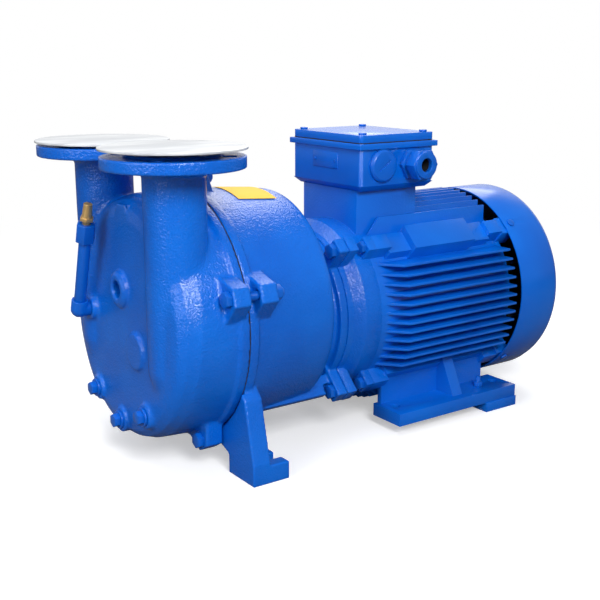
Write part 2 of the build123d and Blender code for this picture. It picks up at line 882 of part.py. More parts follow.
def vent_pipe():
    """The leaning pipe of the vent line."""
    start = elbow_reach / 2 + 0.5
    pipe = Cylinder(pipe_radius, pipe_length, align=(Align.CENTER, Align.CENTER, Align.MIN))
    pipe -= Cylinder(pipe_bore_radius, pipe_length, align=(Align.CENTER, Align.CENTER, Align.MIN))
    return vent_place() * Pos(0, 0, start) * pipe


def vent_coupling():
    """The coupling at the pipe's top."""
    low = elbow_reach / 2 + 0.5 + pipe_length - coupling_overlap
    body = hex_bar(coupling_across_flats, coupling_length)
    body -= Cylinder(pipe_radius + running_fit, 2 * coupling_overlap)
    body -= Pos(0, 0, coupling_length) * Cylinder(silencer_thread_radius + running_fit, 2 * silencer_thread_length)
    return vent_place() * Pos(0, 0, low) * body


def vent_silencer():
    """The sintered silencer screwed into the coupling."""
    low = elbow_reach / 2 + 0.5 + pipe_length - coupling_overlap + coupling_length
    body = hex_bar(silencer_hex, silencer_hex_height)
    cone = Cone(silencer_radius, silencer_tip_radius, silencer_length)
    body += Pos(0, 0, silencer_hex_height + silencer_length / 2) * cone
    thread_low = -silencer_thread_length + 1 - silencer_neck
    thread = Cylinder(silencer_thread_radius, -thread_low, align=(Align.CENTER, Align.CENTER, Align.MAX))
    return vent_place() * Pos(0, 0, low + silencer_neck) * (body + thread)


def port_disc(side, lift):
    """A lift-off transport cover: a disc with a plug that drops into the port's mouth."""
    x, y = port_x, side * port_y
    face = port_top + port_face_height + joint_gap + lift
    disc = post(x, y, face - port_disc_plug, face, port_mouth_diameter / 2 - disc_plug_clearance)
    disc += post(x, y, face, face + port_disc_thickness, port_disc_diameter / 2)
    return disc


def impeller():
    """The impeller: hub, rear disc and forward-curved blades."""
    body = rod(impeller_front_x, impeller_rear_x, impeller_hub_radius)
    body += rod(impeller_rear_x - impeller_disc_thickness, impeller_rear_x, impeller_radius)
    root = impeller_hub_radius - 2
    sweep = radians(impeller_blade_sweep)
    tip = (impeller_radius * cos(sweep), impeller_radius * sin(sweep))
    middle_radius = (root + impeller_radius) / 2
    bend = radians(impeller_blade_sweep * blade_bend)
    middle = (middle_radius * cos(bend), middle_radius * sin(bend))
    curve = ThreePointArc((root, 0), middle, tip)
    blade_face = Plane.YZ * make_face(offset(curve, impeller_blade_thickness / 2, side=Side.BOTH))
    length = impeller_rear_x - impeller_front_x - impeller_disc_thickness + 1
    blade = extrude(blade_face, length, dir=(1, 0, 0))
    blade = Pos(impeller_front_x, 0, shaft_height) * blade
    blade &= rod(impeller_front_x - 1, impeller_rear_x, impeller_radius - blade_tip_setback)
    for i in range(impeller_blades):
        turn = Pos(0, 0, shaft_height) * Rot(360 / impeller_blades * i, 0, 0) * Pos(0, 0, -shaft_height)
        body += turn * blade
    body -= rod(impeller_front_x - 1, impeller_rear_x + 1, impeller_seat_radius)
    body -= rod(impeller_front_x - 1, impeller_front_x + hub_recess, hub_recess_radius)
    body -= key_bar(shaft_front_x - 1, impeller_rear_x + 1, key_clearance)
    return body


def key_bar(x_start, x_end, margin):
    """The key's box on top of the impeller seat, widened by a margin."""
    half = key_width / 2 + margin
    top = shaft_height + impeller_seat_radius + key_height / 2 + margin
    bottom = shaft_height + impeller_seat_radius - key_height / 2 - margin
    return block((x_start, x_end), (-half, half), (bottom, top))


def impeller_washer():
    """The thick washer that clamps the impeller to the shaft."""
    front = impeller_front_x + hub_recess - washer_thickness
    return ring(front, impeller_front_x + hub_recess, washer_radius, end_bolt_diameter / 2 + running_fit)


def impeller_bolt():
    """The bolt in the shaft's end."""
    head_x = impeller_front_x + hub_recess - washer_thickness
    bolt = hex_bolt(Pos(0, 0, 0), end_bolt_diameter, end_bolt_flats, end_bolt_head, end_bolt_length)
    return Pos(head_x, 0, shaft_height) * mirror(bolt, Plane.YZ)


def shaft():
    """The one-piece shaft, from the impeller seat back to the fan seat."""
    steps = [
        (shaft_front_x, impeller_seat_radius),
        (impeller_rear_x, seal_shaft_radius),
        (drive_bearing_x, bearing_seat_radius),
        (drive_bearing_x + bearing_width, rotor_seat_radius),
        (fan_bearing_x, bearing_seat_radius),
        (fan_bearing_x + bearing_width, fan_seat_radius),
    ]
    end_x = fan_x + fan_width + shaft_tail
    points = [(shaft_front_x, 0)]
    for i, (x, radius) in enumerate(steps):
        next_x = steps[i + 1][0] if i + 1 < len(steps) else end_x
        points += [(x, radius), (next_x, radius)]
    points.append((end_x, 0))
    body = turned(points, shaft_height)
    body -= rod(shaft_front_x - 1, shaft_front_x + end_bolt_length, end_bolt_diameter / 2 + running_fit)
    body -= key_bar(shaft_front_x - 1, impeller_rear_x - key_end_gap, 0)
    return body


def impeller_key():
    """The key between the shaft and the impeller."""
    return key_bar(shaft_front_x, impeller_rear_x - key_end_gap, 0)


def seal_bellows():
    """The rubber sleeve of the mechanical seal, which turns with the shaft."""
    return ring(impeller_rear_x, seal_ring_x, seal_bellows_radius, seal_shaft_radius)


def seal_rotating_ring():
    """The turning face of the mechanical seal."""
    return ring(seal_ring_x, seal_ring_x + seal_ring_length, seal_ring_radius, seal_shaft_radius)


def seal_seat():
    """The fixed face of the mechanical seal, pressed into the casing."""
    start = seal_ring_x + seal_ring_length + running_fit
    end = chamber_rear_x + seal_chamber_length
    return ring(start, end, seal_seat_radius, seal_shaft_radius + shaft_hole_margin)


def shaft_slinger():
    """The rubber ring that throws leaked water off the shaft."""
    return ring(slinger_x, slinger_x + slinger_length, slinger_radius, seal_shaft_radius)


def bearing_rings(outer, inner):
    """The same ring in both bearings."""
    rings = []
    for x in (drive_bearing_x, fan_bearing_x):
        rings.append(ring(x, x + bearing_width, outer, inner))
    return rings


def bearing_ball_cages():
    """The ball rows of both bearings, each as one ring."""
    rings = []
    for x in (drive_bearing_x, fan_bearing_x):
        start = x + (bearing_width - cage_width) / 2
        rings.append(ring(start, start + cage_width, bearing_outer_land, bearing_inner_land + running_fit))
    return rings


def drive_end_shield():
    """The shield between the pump and the motor: flange, ring, hub and ears."""
    body = turned(
        [
            (flange_x, 0),
            (flange_x, shield_front_radius),
            (flange_x + shield_wall, shield_front_radius),
            (flange_x + shield_wall + 14, shield_radius),
            (frame_front_x, shield_radius),
            (frame_front_x, frame_bore_radius - running_fit),
            (frame_front_x + shield_spigot, frame_bore_radius - running_fit),
            (frame_front_x + shield_spigot, 0),
        ],
        shaft_height,
    )
    body += rod(flange_x - spigot_length, flange_x, spigot_radius)
    ear = flange_bolt_radius + lug_tip_margin
    for angle in motor_corner_angles:
        body += motor_lug(angle, flange_x, flange_x + shield_ear_length, ear, frame_lug_width, shield_front_radius - 8)
        body += motor_lug(
            angle,
            frame_front_x - shield_rear_ear,
            frame_front_x,
            frame_lug_radius,
            frame_lug_width,
            shield_radius - 8,
        )
    inner = shield_radius - shield_wall - 5
    body -= ring(flange_x + shield_wall, frame_front_x + shield_spigot + 1, inner, bearing_hub_radius)
    body -= rod(hub_end_x(), frame_front_x + shield_spigot + 1, inner)
    body -= rod(flange_x - spigot_length - 1, frame_front_x, rotor_seat_radius + 2)
    body -= rod(drive_bearing_x, frame_front_x, bearing_outer_radius)
    for angle in motor_corner_angles:
        place = round_on(angle, flange_bolt_radius, shaft_height)
        body -= place * rod(flange_x - 1, flange_x + shield_ear_length + 1, flange_bolt_diameter / 2 + running_fit, 0, 0)
        place = round_on(angle, shield_bolt_radius, shaft_height)
        hole = rod(frame_front_x - shield_rear_ear - 1, frame_front_x + 1, shield_bolt_hole_radius, 0, 0)
        body -= place * hole
    return body


def hub_end_x():
    """Where the drive-end bearing hub ends."""
    return drive_bearing_x + bearing_width + 4


def flange_bolts():
    """Bolts that hold the casing to the drive-end shield."""
    head_x = flange_x - flange_ear_length
    shank = flange_ear_length + shield_ear_length - 1
    bolt = mirror(hex_bolt(Pos(0, 0, 0), flange_bolt_diameter, cover_bolt_flats, cover_head_height, shank), Plane.YZ)
    return [round_on(a, flange_bolt_radius, shaft_height, head_x) * bolt for a in motor_corner_angles]


def drive_shield_screws():
    """Hexagon screws that hold the drive-end shield to the frame."""
    head_x = frame_front_x - shield_rear_ear
    shank = shield_rear_ear + frame_screw_depth
    bolt = mirror(hex_bolt(Pos(0, 0, 0), shield_bolt_diameter, shield_bolt_flats, shield_head_height, shank), Plane.YZ)
    return [round_on(a, shield_bolt_radius, shaft_height, head_x) * bolt for a in motor_corner_angles]


def side_fin(height_from_axis, side):
    """One cooling fin on the motor's side, with its ramped front end."""
    start = frame_front_x + fin_front_gap
    end = frame_rear_x - fin_rear_gap
    foot = sqrt(frame_bore_radius**2 - height_from_axis**2) + 1
    tip = sqrt(fin_tip_radius**2 - height_from_axis**2)
    shell = sqrt(frame_radius**2 - height_from_axis**2)
    low = shaft_height + height_from_axis - fin_thickness / 2
    outline = Polyline(
        (start, foot, low),
        (start, shell - 1, low),
        (start + fin_ramp, tip, low),
        (end, tip, low),
        (end, foot, low),
        close=True,
    )
    fin = extrude(make_face(outline), fin_thickness, dir=(0, 0, 1))
    return fin if side > 0 else mirror(fin, Plane.XZ)


def upright_fin(y, up):
    """One upright fin on the motor's top or bottom."""
    height = side_fin(y, 1)
    turned_up = Pos(0, 0, shaft_height) * Rot(90 if up else -90, 0, 0) * Pos(0, 0, -shaft_height) * height
    return turned_up


def fin_offsets():
    """Distances of the fins from the shaft's plane."""
    return [fin_pitch * (i - (fin_count - 1) / 2) for i in range(fin_count)]


def motor_foot(side):
    """One motor foot with its web and slanted rib."""
    front = foot_centre_x - motor_foot_front
    rear = front + motor_foot_length
    top = motor_foot_lift + motor_foot_thickness
    pad = block((front, rear), (motor_foot_inner, motor_foot_outer), (motor_foot_lift, top))
    web_low = motor_foot_inner
    web = block((front + 8, rear - 26), (web_low, web_low + foot_web_wall), (top - 2, shaft_height - foot_web_top))
    middle = foot_centre_x + foot_rib_offset
    rib_outline = Polyline(
        (middle, web_low, top - 1),
        (middle, motor_foot_outer - 14, top - 1),
        (middle, web_low + foot_web_wall + 4, shaft_height - foot_web_top),
        (middle, web_low, shaft_height - foot_web_top),
        close=True,
    )
    rib = extrude(make_face(rib_outline), foot_web_thickness, dir=(1, 0, 0))
    foot = pad + web + rib
    for x in (-foot_hole_pitch_x / 2, foot_hole_pitch_x / 2):
        foot -= post(foot_centre_x + x, foot_hole_pitch_y / 2, 0, top + 1, foot_hole_diameter / 2)
    return foot if side > 0 else mirror(foot, Plane.XZ)


def corner_bar(angle):
    """The bar along one corner of the frame, from the front lug to the rear lug."""
    bar = block(
        (frame_front_x + frame_lug_length - 2, frame_rear_x - frame_lug_length + 2),
        (frame_radius - 12, corner_bar_radius - 7),
        (-corner_bar_width / 2, corner_bar_width / 2),
    )
    return Pos(0, 0, shaft_height) * Rot(angle, 0, 0) * bar


def plate_pad():
    """The flat sloping pad on the near upper corner, where a rating plate would go."""
    middle = frame_front_x + plate_pad_start + plate_pad_length / 2
    half = plate_pad_length / 2
    pad = block(
        (middle - half, middle + half),
        (frame_radius - 12, plate_pad_radius),
        (-plate_pad_width / 2, plate_pad_width / 2),
    )
    return Pos(0, 0, shaft_height) * Rot(135, 0, 0) * pad


def pedestal():
    """The hollow pedestal under the terminal box."""
    start = frame_front_x + pedestal_start
    top = box_base_height - box_bevel
    return block((start, start + pedestal_length), (-pedestal_width / 2, pedestal_width / 2), (shaft_height, top))


def motor_frame():
    """The cast frame: shell, fins, corner bars, lugs, pedestal and feet."""
    body = rod(frame_front_x, frame_rear_x, frame_radius)
    body += pedestal()
    for offset in fin_offsets():
        body += side_fin(offset, 1)
        body += side_fin(offset, -1)
    for offset in fin_offsets():
        body += upright_fin(offset, False)
        body += upright_fin(offset, True)
    for angle in motor_corner_angles:
        body += corner_bar(angle)
        for x in (frame_front_x, frame_rear_x - frame_lug_length):
            body += motor_lug(angle, x, x + frame_lug_length, frame_lug_radius, frame_lug_width, frame_radius - 8)
    body += plate_pad()
    for side in (-1, 1):
        body += motor_foot(side)
    start = frame_front_x + pedestal_start + pedestal_wall
    half = pedestal_width / 2 - pedestal_wall
    body -= block(
        (start, start + pedestal_length - 2 * pedestal_wall), (-half, half), (shaft_height, box_base_height + 1)
    )
    body -= rod(frame_front_x - 1, frame_rear_x + 1, frame_bore_radius)
    for angle in motor_corner_angles:
        place = round_on(angle, shield_bolt_radius, shaft_height)
        radius = shield_bolt_diameter / 2 + running_fit
        body -= place * rod(frame_front_x - 1, frame_front_x + frame_screw_depth + 1, radius, 0, 0)
        place = round_on(angle, rear_bolt_radius, shaft_height)
        body -= place * rod(frame_rear_x - frame_screw_depth - 1, frame_rear_x + 1, radius, 0, 0)
    return body


def foot_spacers():
    """Spacer blocks under the rear ends of the motor feet."""
    rear = foot_centre_x - motor_foot_front + motor_foot_length + spacer_proud
    spacers = []
    for side in (-1, 1):
        low, high = motor_foot_inner + 4, motor_foot_outer + spacer_proud
        spacer = block((rear - spacer_length, rear), (low, high), (0, motor_foot_lift))
        hole_x = foot_centre_x + foot_hole_pitch_x / 2
        spacer -= post(hole_x, foot_hole_pitch_y / 2, -1, motor_foot_lift + 1, foot_hole_diameter / 2)
        spacers.append(spacer if side > 0 else mirror(spacer, Plane.XZ))
    return spacers


def stator_core():
    """The stator's iron core."""
    return ring(stator_x, stator_x + stator_length, frame_bore_radius, stator_bore_radius)


def stator_winding():
    """The two winding heads of the stator."""
    inner = stator_bore_radius + 3
    outer = inner + winding_depth
    front = ring(stator_x - winding_length, stator_x, outer, inner)
    rear = ring(stator_x + stator_length, stator_x + stator_length + winding_length, outer, inner)
    return [front, rear]


def rotor_core():
    """The rotor's iron core."""
    return ring(stator_x, stator_x + stator_length, stator_bore_radius - air_gap, rotor_seat_radius)


def rotor_end_rings():
    """The cast end rings of the rotor cage."""
    outer = stator_bore_radius - air_gap - 1
    front = ring(stator_x - end_ring_length, stator_x, outer, outer - end_ring_depth)
    end = stator_x + stator_length
    return [front, ring(end, end + end_ring_length, outer, outer - end_ring_depth)]


def fan_end_shield():
    """The rear shield: wall, bearing hub, spigot and the ears that carry the fan cover."""
    start = frame_rear_x - shield_spigot
    wall_x = frame_rear_x + rear_shield_wall
    body = rod(start, frame_rear_x, frame_bore_radius - running_fit)
    body += rod(frame_rear_x, wall_x, frame_radius)
    body += rod(fan_bearing_x - 6, frame_rear_x + rear_hub_length, bearing_hub_radius)
    for angle in motor_corner_angles:
        body += motor_lug(
            angle,
            frame_rear_x,
            frame_rear_x + rear_shield_length,
            rear_ear_reach,
            rear_ear_width,
            frame_radius - 8,
        )
    body -= ring(start - 1, frame_rear_x, frame_bore_radius - shield_wall, bearing_hub_radius)
    seat_end = fan_bearing_x + bearing_width + wave_spring_thickness
    body -= rod(start - 20, seat_end, bearing_outer_radius)
    body -= rod(start - 20, frame_rear_x + rear_hub_length + 1, fan_seat_radius + 1)
    for angle in motor_corner_angles:
        place = round_on(angle, rear_bolt_radius, shaft_height)
        body -= place * rod(frame_rear_x - 1, frame_rear_x + rear_shield_length + 1, shield_bolt_hole_radius, 0, 0)
        body -= cover_screw(angle, running_fit, 0)
    return body


def fan_shield_screws():
    """Screws that hold the rear shield to the frame."""
    head_x = frame_rear_x + rear_shield_length
    shank = rear_shield_length + frame_screw_depth - 1
    bolt = hex_bolt(Pos(0, 0, 0), shield_bolt_diameter, shield_bolt_flats, shield_head_height, shank)
    return [round_on(a, rear_bolt_radius, shaft_height, head_x) * bolt for a in motor_corner_angles]


def bearing_wave_spring():
    """The spring washer that preloads the fan-end bearing."""
    start = fan_bearing_x + bearing_width
    return ring(start, start + wave_spring_thickness, bearing_outer_radius - 1, bearing_outer_land)


def cooling_fan():
    """The cooling fan: hub, back disc and straight radial blades."""
    body = rod(fan_x, fan_x + fan_width, fan_hub_radius)
    body += rod(fan_x, fan_x + fan_disc_thickness, fan_radius - 12)
    for i in range(fan_blades):
        blade = block(
            (fan_x + 1, fan_x + fan_width),
            (fan_hub_radius - 3, fan_radius),
            (-fan_blade_thickness / 2, fan_blade_thickness / 2),
        )
        body += Pos(0, 0, shaft_height) * Rot(360 / fan_blades * (i + 0.5), 0, 0) * blade
    body -= rod(fan_x - 1, fan_x + fan_width + 1, fan_seat_radius)
    return body


def fan_circlip():
    """The circlip that keeps the fan on the shaft."""
    start = fan_x + fan_width + 0.2
    return ring(start, start + circlip_thickness, fan_seat_radius + 4, fan_seat_radius)


def cover_screw(angle, margin, extra):
    """A fan cover screw's shank, pointing at the shaft."""
    reach = fan_cover_radius + extra
    shank = Pos(0, reach - cover_screw_length / 2, 0) * Rot(90, 0, 0)
    shank = shank * Cylinder(cover_screw_diameter / 2 + margin, cover_screw_length)
    return Pos(cover_screw_x, 0, shaft_height) * Rot(angle, 0, 0) * shank


def fan_cover():
    """The pressed fan cover with its rounded rear edge and radial air slots."""
    rear_edge = softened(fan_cover_rear_x, fan_cover_radius, fan_cover_edge, 1)
    outline = [(fan_cover_front_x, 0), (fan_cover_front_x, fan_cover_radius), *rear_edge, (fan_cover_rear_x, 0)]
    body = turned(outline, shaft_height)
    inner_rear_x = fan_cover_rear_x - fan_cover_wall
    inner_radius = fan_cover_radius - fan_cover_wall
    inner_front_x = fan_cover_front_x - cut_overlap
    rear_edge = softened(inner_rear_x, inner_radius, fan_cover_edge - fan_cover_wall, 1)
    body -= turned([(inner_front_x, 0), (inner_front_x, inner_radius), *rear_edge, (inner_rear_x, 0)], shaft_height)
    for i in range(grille_slots):
        slot = block(
            (fan_cover_rear_x - 2 * fan_cover_wall, fan_cover_rear_x + 1),
            (grille_inner_radius, grille_outer_radius),
            (-grille_slot_width / 2, grille_slot_width / 2),
        )
        body -= Pos(0, 0, shaft_height) * Rot(360 / grille_slots * i, 0, 0) * slot
    for angle in motor_corner_angles:
        body -= cover_screw(angle, 0.3, 2)
    return body


def fan_cover_screws():
    """Short screws that hold the fan cover to the rear shield's ears."""
    screws = []
    for angle in motor_corner_angles:
        head = Pos(0, fan_cover_radius + cover_screw_head / 2, 0) * Rot(90, 0, 0)
        head = head * Cylinder(cover_screw_diameter, cover_screw_head)
        screw = cover_screw(angle, 0, 0) + Pos(cover_screw_x, 0, shaft_height) * Rot(angle, 0, 0) * head
        screws.append(screw)
    return screws


def rounded_block(x_range, y_range, z_range, radius):
    """A box with rounded upright corners."""
    body = block(x_range, y_range, z_range)
    return fillet(body.edges().filter_by(Axis.Z), radius)


def terminal_box():
    """The terminal box: bevelled base, walls, and holes for the gland, plug and wires."""
    x_range = (box_x, box_x + box_length)
    half = box_width / 2
    top = box_base_height + box_height
    body = rounded_block(x_range, (-half, half), (box_base_height, top), box_corner_radius)
    base = Plane.XY.offset(box_base_height) * Pos(box_x + box_length / 2, 0) * Rectangle(box_length, box_width)
    body += extrude(base, -box_bevel, taper=45)
    inner_x = (box_x + box_wall, box_x + box_length - box_wall)
    body -= block(inner_x, (-half + box_wall, half - box_wall), (box_base_height, top + 1))
    opening = pedestal_width / 2 - 2 * pedestal_wall
    start = frame_front_x + pedestal_start + 2 * pedestal_wall
    body -= block(
        (start, start + pedestal_length - 4 * pedestal_wall), (-opening, opening), (box_base_height - 20, top)
    )
    for x in (plug_x, gland_x):
        body -= Pos(x, -half, entry_height) * Rot(90, 0, 0) * Cylinder(entry_diameter / 2, 3 * box_wall)
    for x, y in lid_screw_spots():
        body += post(x, y, box_base_height - 1, top, lid_boss_radius)
        body -= post(x, y, top - lid_screw_length, top + 1, lid_screw_diameter / 2 + running_fit)
    return body


def lid_screw_spots():
    """The four corner places of the lid screws."""
    inset = lid_screw_inset
    xs = (box_x + inset, box_x + box_length - inset)
    ys = (-box_width / 2 + inset, box_width / 2 - inset)
    return [(x, y) for x in xs for y in ys]


def lid_outline(z_low, z_high):
    """A slab with the lid's outline, with its screw holes."""
    slab = rounded_block(
        (box_x, box_x + box_length), (-box_width / 2, box_width / 2), (z_low, z_high), box_corner_radius
    )
    for x, y in lid_screw_spots():
        slab -= post(x, y, z_low - 1, z_high + 1, lid_screw_diameter / 2 + 0.3)
    return slab


def lid_gasket():
    """The gasket under the lid."""
    low = box_base_height + box_height
    slab = lid_outline(low, low + lid_gasket_thickness)
    margin = 2 * lid_screw_inset
    inner_x = (box_x + margin, box_x + box_length - margin)
    inner_y = (-box_width / 2 + margin, box_width / 2 - margin)
    return slab - block(inner_x, inner_y, (low - 1, low + 5))


def terminal_box_lid():
    """The lid of the terminal box, with a softened top edge."""
    low = box_base_height + box_height + lid_gasket_thickness
    lid = lid_outline(low, low + lid_thickness)
    return lid


def lid_screws():
    """The four screws of the lid."""
    top = box_base_height + box_height + lid_gasket_thickness + lid_thickness
    screws = []
    for x, y in lid_screw_spots():
        low = box_base_height + box_height - lid_screw_length + 1
        screw = post(x, y, low, top, lid_screw_diameter / 2)
        screws.append(screw + post(x, y, top, top + lid_screw_head, lid_screw_diameter))
    return screws


def terminal_board():
    """The board that carries the terminals."""
    x = box_x + box_length / 2
    low = box_base_height + board_lift
    board = block((x - board_length / 2, x + board_length / 2), (-board_width / 2, board_width / 2), (low, low + 10))
    for y in (-board_width / 2 + 6, board_width / 2 - 6):
        board += post(x, y, box_base_height - box_bevel, low, 5)
    return board


def terminal_studs():
    """Six studs with their nuts, in two rows of three."""
    centre = box_x + box_length / 2
    low = box_base_height + board_lift + 10
    studs = []
    for row in (-1, 1):
        for column in (-1, 0, 1):
            x, y = centre + row * board_length / 4, column * board_width / 4
            stud = post(x, y, low, low + stud_height, stud_diameter / 2)
            studs.append(stud + Pos(x, y, low) * hex_bar(2 * stud_diameter - 2, stud_diameter))
    return studs


def entry_place(x):
    """The place of a cable entry, with Z pointing out of the box."""
    return Pos(x, -box_width / 2, entry_height) * Rot(90, 0, 0)


def cable_gland_body():
    """The gland's body with its locking hexagon."""
    outward = (Align.CENTER, Align.CENTER, Align.MIN)
    body = hex_bar(gland_hex, gland_hex_height)
    body += Pos(0, 0, gland_hex_height) * Cylinder(gland_neck_radius, gland_neck_length, align=outward)
    inward = (Align.CENTER, Align.CENTER, Align.MAX)
    body += Cylinder(entry_diameter / 2 - running_fit, box_wall + gland_tail_reach, align=inward)
    body -= Cylinder(gland_bore_radius + gland_wall, box_width)
    return entry_place(gland_x) * body


def gland_cap():
    """The gland's clamping nut with its open mouth."""
    neck_end = gland_hex_height + gland_neck_length
    base = neck_end - gland_overlap
    outward = (Align.CENTER, Align.CENTER, Align.MIN)
    body = Pos(0, 0, base) * hex_bar(gland_cap_flats, gland_cap_length)
    body += Pos(0, 0, base) * Cylinder(gland_cap_flats / 2 - 1, gland_cap_length + gland_cap_collar, align=outward)
    inward = (Align.CENTER, Align.CENTER, Align.MAX)
    body -= Pos(0, 0, neck_end) * Cylinder(gland_neck_radius + running_fit, gland_overlap + cut_overlap, align=inward)
    body -= Cylinder(gland_bore_radius, box_width)
    return entry_place(gland_x) * body


def gland_seal():
    """The rubber ring inside the gland."""
    outer = gland_bore_radius + gland_wall - running_fit
    length = gland_neck_length
    body = Cylinder(outer, length, align=(Align.CENTER, Align.CENTER, Align.MIN))
    body -= Cylinder(gland_bore_radius, box_width)
    return entry_place(gland_x) * Pos(0, 0, gland_hex_height) * body


def blanking_plug():
    """The round slotted plug in the spare entry."""
    body = Cylinder(blank_radius, blank_height, align=(Align.CENTER, Align.CENTER, Align.MIN))
    body = chamfer(body.edges().sort_by(Axis.Z)[-1], blank_chamfer)
    slot = Box(blank_radius, blank_slot_width, 2 * blank_slot_depth)
    body -= Pos(0, 0, blank_height) * Rot(0, 0, blank_slot_turn) * slot
    inward = (Align.CENTER, Align.CENTER, Align.MAX)
    body += Cylinder(entry_diameter / 2 - running_fit, box_wall + blank_tail_reach, align=inward)
    return entry_place(plug_x) * body


def box_plate():
    """The small blank plate on the box's front side."""
    z = box_base_height + box_plate_rise
    return block((box_x - box_plate_thickness, box_x), (-box_plate_length / 2, box_plate_length / 2), (z, z + box_plate_height))


def box_plate_rivets():
    """The two rivets of the small plate."""
    z = box_base_height + box_plate_rise + box_plate_height / 2
    face = box_x - box_plate_thickness
    return [rod(face - 1.2, face, 2.2, y, z) for y in (-box_plate_length / 2 + 5, box_plate_length / 2 - 5)]


def earth_screw():
    """The earth screw on the near foot."""
    top = motor_foot_lift + motor_foot_thickness
    place = Pos(foot_centre_x + earth_offset, -earth_y, top)
    return place * (hex_bar(13, 8) + Cylinder(4, 17, align=(Align.CENTER, Align.CENTER, Align.MIN)))


os.makedirs("parts", exist_ok=True)
save("pump_casing", pump_casing())
save("port_cover", port_cover())
save("port_plate", port_plate())
save("port_plate_screws", plate_screws())
save("valve_flap", valve_flap())
save("valve_stop", valve_stop())
save("cover_gasket", cover_gasket())
save("cover_bolts", cover_bolts())
save("cover_nuts", cover_nuts())
save("drain_plugs", drain_plugs())
save("drain_plug_washers", drain_plug_washers())
save("vent_elbow", vent_elbow())
save("vent_pipe", vent_pipe())
save("vent_coupling", vent_coupling())
save("vent_silencer", vent_silencer())
save("near_port_disc", port_disc(-1, port_disc_lift))
save("far_port_disc", port_disc(1, 0))
save("impeller", impeller())
save("impeller_washer", impeller_washer())
save("impeller_bolt", impeller_bolt())
save("impeller_key", impeller_key())
save("shaft", shaft())
save("seal_bellows", seal_bellows())
save("seal_rotating_ring", seal_rotating_ring())
save("seal_seat", seal_seat())
save("shaft_slinger", shaft_slinger())
save("bearing_outer_rings", bearing_rings(bearing_outer_radius, bearing_outer_land))
save("bearing_inner_rings", bearing_rings(bearing_inner_land, bearing_seat_radius))
save("bearing_ball_cages", bearing_ball_cages())
save("drive_end_shield", drive_end_shield())
save("flange_bolts", flange_bolts())
save("drive_shield_screws", drive_shield_screws())
save("motor_frame", motor_frame())
save("foot_spacers", foot_spacers())
save("stator_core", stator_core())
save("stator_winding", stator_winding())
save("rotor_core", rotor_core())
save("rotor_end_rings", rotor_end_rings())
save("fan_end_shield", fan_end_shield())
save("fan_shield_screws", fan_shield_screws())
save("bearing_wave_spring", bearing_wave_spring())
save("cooling_fan", cooling_fan())
save("fan_circlip", fan_circlip())
save("fan_cover", fan_cover())
save("fan_cover_screws", fan_cover_screws())
save("terminal_box", terminal_box())
save("lid_gasket", lid_gasket())
save("terminal_box_lid", terminal_box_lid())
save("lid_screws", lid_screws())
save("terminal_board", terminal_board())
save("terminal_studs", terminal_studs())
save("cable_gland_body", cable_gland_body())
save("gland_cap", gland_cap())
save("gland_seal", gland_seal())
save("blanking_plug", blanking_plug())
save("box_plate", box_plate())
save("box_plate_rivets", box_plate_rivets())
save("earth_screw", earth_screw())
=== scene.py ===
"""Looks for the liquid ring vacuum pump: glossy blue enamel over sand-cast iron,
pale port discs, a brass silencer and a bare yellow sticker, on a white studio floor."""
import json
import math

import bmesh
import bpy
from mathutils import Matrix, Vector


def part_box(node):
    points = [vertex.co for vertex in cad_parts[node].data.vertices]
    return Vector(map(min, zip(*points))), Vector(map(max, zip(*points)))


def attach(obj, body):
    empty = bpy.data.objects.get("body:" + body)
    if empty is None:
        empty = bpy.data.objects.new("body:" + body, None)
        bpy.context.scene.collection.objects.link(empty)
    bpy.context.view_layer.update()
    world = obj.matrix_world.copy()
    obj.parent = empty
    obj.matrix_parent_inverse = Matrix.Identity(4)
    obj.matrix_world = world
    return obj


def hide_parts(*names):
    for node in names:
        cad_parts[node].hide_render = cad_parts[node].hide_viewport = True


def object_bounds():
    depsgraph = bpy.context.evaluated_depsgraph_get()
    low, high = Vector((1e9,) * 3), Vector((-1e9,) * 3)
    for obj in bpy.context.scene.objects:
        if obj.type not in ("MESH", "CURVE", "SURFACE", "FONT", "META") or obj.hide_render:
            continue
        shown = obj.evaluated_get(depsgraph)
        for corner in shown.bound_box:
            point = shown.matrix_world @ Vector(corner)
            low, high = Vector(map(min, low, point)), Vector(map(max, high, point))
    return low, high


MM = 0.001

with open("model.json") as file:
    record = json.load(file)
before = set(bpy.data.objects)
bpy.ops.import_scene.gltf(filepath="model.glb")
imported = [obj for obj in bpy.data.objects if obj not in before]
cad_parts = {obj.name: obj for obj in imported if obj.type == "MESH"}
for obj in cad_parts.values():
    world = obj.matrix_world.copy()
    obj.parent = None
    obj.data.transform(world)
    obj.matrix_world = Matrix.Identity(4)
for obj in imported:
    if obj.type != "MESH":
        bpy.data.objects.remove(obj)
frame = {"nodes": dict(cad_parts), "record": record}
cad_low, cad_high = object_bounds()
nodes = frame["nodes"]

# Camera, worked out from the photograph's own perspective
CAMERA_PLACE = (-0.8772, -1.2120, 0.5579)
CAMERA_YAW = 35.095
CAMERA_PITCH = 13.96
CAMERA_LENS = 59.02

# Studio levels
FLOOR_REACH = 14.0
FLOOR_WHITE = (0.78, 0.78, 0.78, 1.0)
FLOOR_BOUNCE = (0.16, 0.16, 0.16, 1.0)
FLOOR_LIFT = 0.42
FLOOR_FADE_START = 1.1
FLOOR_FADE_END = 2.2
FILL_STRENGTH = 0.3
BACK_WALL_SIDE = (0.57, 0.82, 0.0)
BACK_WALL_EDGE = 0.58
BACK_WALL_FULL = 0.84

